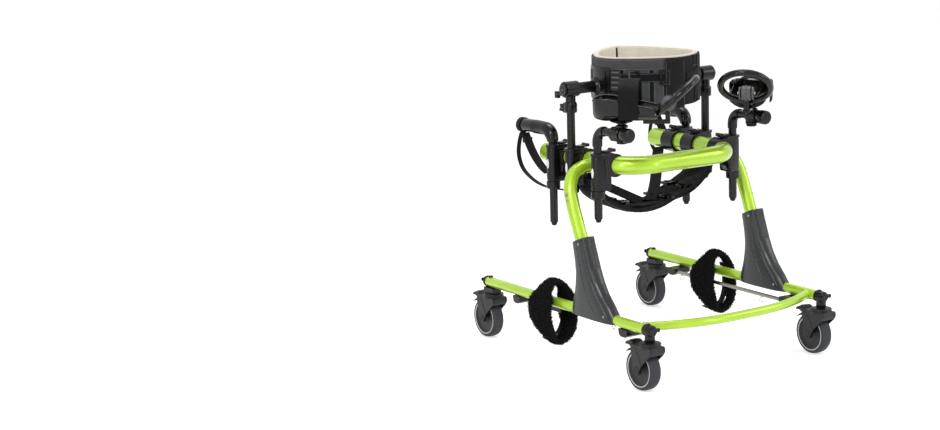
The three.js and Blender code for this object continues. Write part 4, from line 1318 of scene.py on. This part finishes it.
TEETH, TEETH_RADIUS, TOOTH_WIDE = 30, 0.0158, 0.018
teeth = teeth_tree()
for side in ("left", "right"):
    made = bpy.data.objects.new("dial_teeth_" + side, bpy.data.meshes.new("dial_teeth_" + side))
    bpy.context.collection.objects.link(made)
    made.data.from_pydata([(0, 0, 0)], [], [])
    made.data.materials.append(hub_grey)
    grown(made, teeth, Count=TEETH, Radius=TEETH_RADIUS, Width=TOOTH_WIDE)
    carry = Matrix.Translation(local(0, dial_along, dial_z)) @ turn_only @ Matrix.Rotation(math.pi / 2, 4, "Y")
    if side == "right":
        carry = Matrix.Scale(-1, 4, (1, 0, 0)) @ carry
    made.data.transform(carry)
    work = bmesh.new()
    work.from_mesh(made.data)
    bmesh.ops.recalc_face_normals(work, faces=work.faces)
    work.to_mesh(made.data)
    work.free()
    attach(made, "trough_" + side)
print("teeth", len(made.data.polygons), "faces")

# %% [markdown]
# The hand ring is a closed loop that leans forwards. Two short arms join it to the sides of the dial.

# %% Hand rings
HAND_RING_R, HAND_RING_TUBE = 0.058, 8
ARM_CORNERS = ((-2.4, -5), (2.4, -5), (2.4, 5), (-2.4, 5))
in_plane = Matrix.Translation(local(0, RING_ALONG, RING_CENTRE_Z)) @ turn_only @ Matrix.Rotation(-RING_LEAN, 4, "X")
loop = [in_plane @ Vector((HAND_RING_R * math.cos(t), 0, HAND_RING_R * math.sin(t)))
        for t in [2 * math.pi * i / 72 for i in range(72)]]
ring_parts = [sweep(loop, HAND_RING_TUBE, grip_rubber, sides=24, closed=True)]
for f in (-1, 1):
    hub = [(0.2, 0), (13, 0), (15, 1), (15, 4), (13, 5), (6, 5), (5, 4), (0.2, 4)]
    ring_parts.append(turned(local(f * 12.6, dial_along, dial_z), across_axis * f, hub, hub_grey))
    arm = [in_plane @ (Vector((f * 15 + dx, dy, dz)) / 1000) for dz in (-56, -27) for dx, dy in ARM_CORNERS]
    ring_parts.append((arm, BOX_FACES, satin_black))
both("hand_loop", "ring", ring_parts, replaces="hand_ring", slot="black_moulding", bevel=0.8)
print("forearm prompts")

# %% [markdown]
# ## Hip sling
# A padded band hangs from the upper rail and is carried at the back by two webbing straps. It is built as a
# sagging strip with soft folds, and thinner straps are laid over it.

# %% Sling
SLING_Y, SLING_WIDE, SLING_THICK = 18, 88, 9
seat_points = [(-172, 438), (-163, 404), (-118, 372), (-56, 351), (8, 352), (72, 374), (124, 396), (160, 418),
               (171, 440)]
seat = piece("sling_seat", "upper", [
    ribbon([at(x, SLING_Y - abs(x) * 0.03, z) for x, z in seat_points], SLING_WIDE, SLING_THICK, dark_cloth, fold=4.2,
           steps=12),
], replaces="hip_sling", slot="dark_textile")
sling_straps = []
for s in (-1, 1):
    for line, wide, options in (
        ([(UPPER_X, 176, 457), (128, 132, 434), (70, 66, 396), (14, 12, 362)], 28, {"wide": (1, 0.3, 0.4)}),
        ([(UPPER_X, -9, 459), (UPPER_X, -8, 444), (164, -10, 416), (118, -14, 381), (50, -10, 362), (0, -4, 359)],
         26, {"fold": 1.0}),
        ([(UPPER_X, 6, 459), (166, 14, 440), (158, 34, 414), (112, 44, 384), (50, 46, 364), (0, 44, 360)],
         24, {"fold": 0.8}),
    ):
        sling_straps.append(ribbon([at(s * x, y, z) for x, y, z in line], wide, 2, black_webbing, **options))
BUCKLE_X, BUCKLE_Y, BAR = 17, 16, 4
for x, z in ((-96, 374), (44, 371), (96, 392)):
    for y in (-12, 44):
        low = z - 3
        for x0, x1, y0, y1, rise in (
            (-BUCKLE_X, BAR - BUCKLE_X, -BUCKLE_Y, BUCKLE_Y, 0), (BUCKLE_X - BAR, BUCKLE_X, -BUCKLE_Y, BUCKLE_Y, 0),
            (-BUCKLE_X, BUCKLE_X, -BUCKLE_Y, BAR - BUCKLE_Y, 0), (-BUCKLE_X, BUCKLE_X, BUCKLE_Y - BAR, BUCKLE_Y, 0),
            (-BAR // 2, BAR // 2, -BUCKLE_Y, BUCKLE_Y, 1),
        ):
            sling_straps.append(brick(x + x0, x + x1, y + y0, y + y1, low + rise, low + rise + 6, satin_black))
piece("sling_straps", "upper", sling_straps, slot="dark_textile")

# %% [markdown]
# A webbing loop hangs from each grip down to its clamp. On the walker its lower end stays with the rail while the
# grip's post is raised; here it rides no body, and its place is baked into its points.

# %% Handle loops
LOOP_R, LOOP_Y = 17.4, 236
grip_loop = [at(POST_X + LOOP_R * math.cos(a), LOOP_Y, HANDLE_Z - 1 + LOOP_R * math.sin(a))
             for a in [2 * math.pi * i / 32 for i in range(33)]]
loop_parts = [
    ribbon([at(203, 132, 444), at(206, 168, 456), at(207, 206, 484), at(206, 224, 512), at(206, 240, 530),
            at(206, 254, 506), at(206, 259, 470), at(206, 244, 440), at(205, 208, 418), at(203, 160, 405),
            at(200, 108, 404), at(192, 64, 404)], 11, 1.8, black_webbing, wide=(1, 0.1, 0)),
    ribbon([at(205, 136, 440), at(206, 160, 452), at(206, 196, 482), at(206, 230, 528)], 24, 2, black_webbing,
           wide=(1, 0, 0)),
    ribbon(grip_loop, 14, 1.8, black_webbing, steps=2),
    brick(194, 218, 216, 224, 506, 518, satin_black),
]
for side, shapes in (("left", loop_parts), ("right", mirrored(loop_parts))):
    handle_loop = piece("strap_tail_" + side, None, shapes, slot="dark_textile")
    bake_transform(handle_loop)
print("sling and handle loops")

# %% [markdown]
# ## Stage and light
# The floor is white to the camera and to reflections, and keeps the walker's shadow. Three soft area lamps,
# two upright strips and a pale world light the walker at a plain level.

# %% Floor, world and lamps
def seen_directly(tree):
    """1 for rays from the camera and for mirror-like rays, 0 for the rest."""
    path = add(tree, "ShaderNodeLightPath")
    rays = {0: path.outputs["Is Camera Ray"], 1: path.outputs["Is Glossy Ray"]}
    return add(tree, "ShaderNodeMath", rays, operation="MAXIMUM").outputs[0]


floor_mesh = bpy.data.meshes.new("floor")
floor_mesh.from_pydata([(-30, -30, 0), (30, -30, 0), (30, 30, 0), (-30, 30, 0)], [], [(0, 1, 2, 3)])
floor = bpy.data.objects.new("floor", floor_mesh)
bpy.context.collection.objects.link(floor)
floor.location.z = cad_box[0][2] - 0.0005
floor_finish, tree, shader = new_finish("floor_white")
shader.inputs["Base Color"].default_value = (0.93, 0.93, 0.93, 1)
shader.inputs["Roughness"].default_value = 0.9
shader.inputs["Specular IOR Level"].default_value = 0.1
glow = add(tree, "ShaderNodeMath", {0: seen_directly(tree)}, operation="MULTIPLY")
glow.inputs[1].default_value = 0.52
shader.inputs["Emission Color"].default_value = (1, 1, 1, 1)
tree.links.new(glow.outputs[0], shader.inputs["Emission Strength"])
floor_mesh.materials.append(floor_finish)

world = bpy.data.worlds.new("studio")
bpy.context.scene.world = world
world.use_nodes = True
tree = world.node_tree
background = tree.nodes["Background"]
strength = add(tree, "ShaderNodeMapRange", {0: seen_directly(tree)})
strength.inputs[3].default_value = 0.5
strength.inputs[4].default_value = 1.0
tree.links.new(strength.outputs[0], background.inputs["Strength"])
background.inputs["Color"].default_value = (1, 1, 1, 1)


def lamp(name, place, aim_height, energy, size, tall=None):
    """A soft lamp that points at the walker's middle line; with tall it is an upright strip."""
    made = bpy.data.objects.new(name, bpy.data.lights.new(name, "AREA"))
    made.data.size = size
    if tall:
        made.data.shape = "RECTANGLE"
        made.data.size_y = tall
    made.data.energy = energy
    made.location = place
    made.rotation_euler = (Vector((0, 0, aim_height)) - made.location).to_track_quat("-Z", "Y").to_euler()
    bpy.context.collection.objects.link(made)


lamp("strip_near", (-2.4, -0.9, 0.9), 0.4, 7, 0.16, tall=1.5)
lamp("strip_front", (0.9, -2.7, 0.9), 0.4, 7, 0.16, tall=1.5)
lamp("key", (-2.2, -1.6, 2.4), 0.35, 34, 0.9)
lamp("fill", (2.4, -1.8, 1.9), 0.35, 18, 1.2)
lamp("top", (0.3, 0.5, 2.8), 0.35, 24, 1.2)
bpy.context.scene.view_settings.view_transform = "Standard"
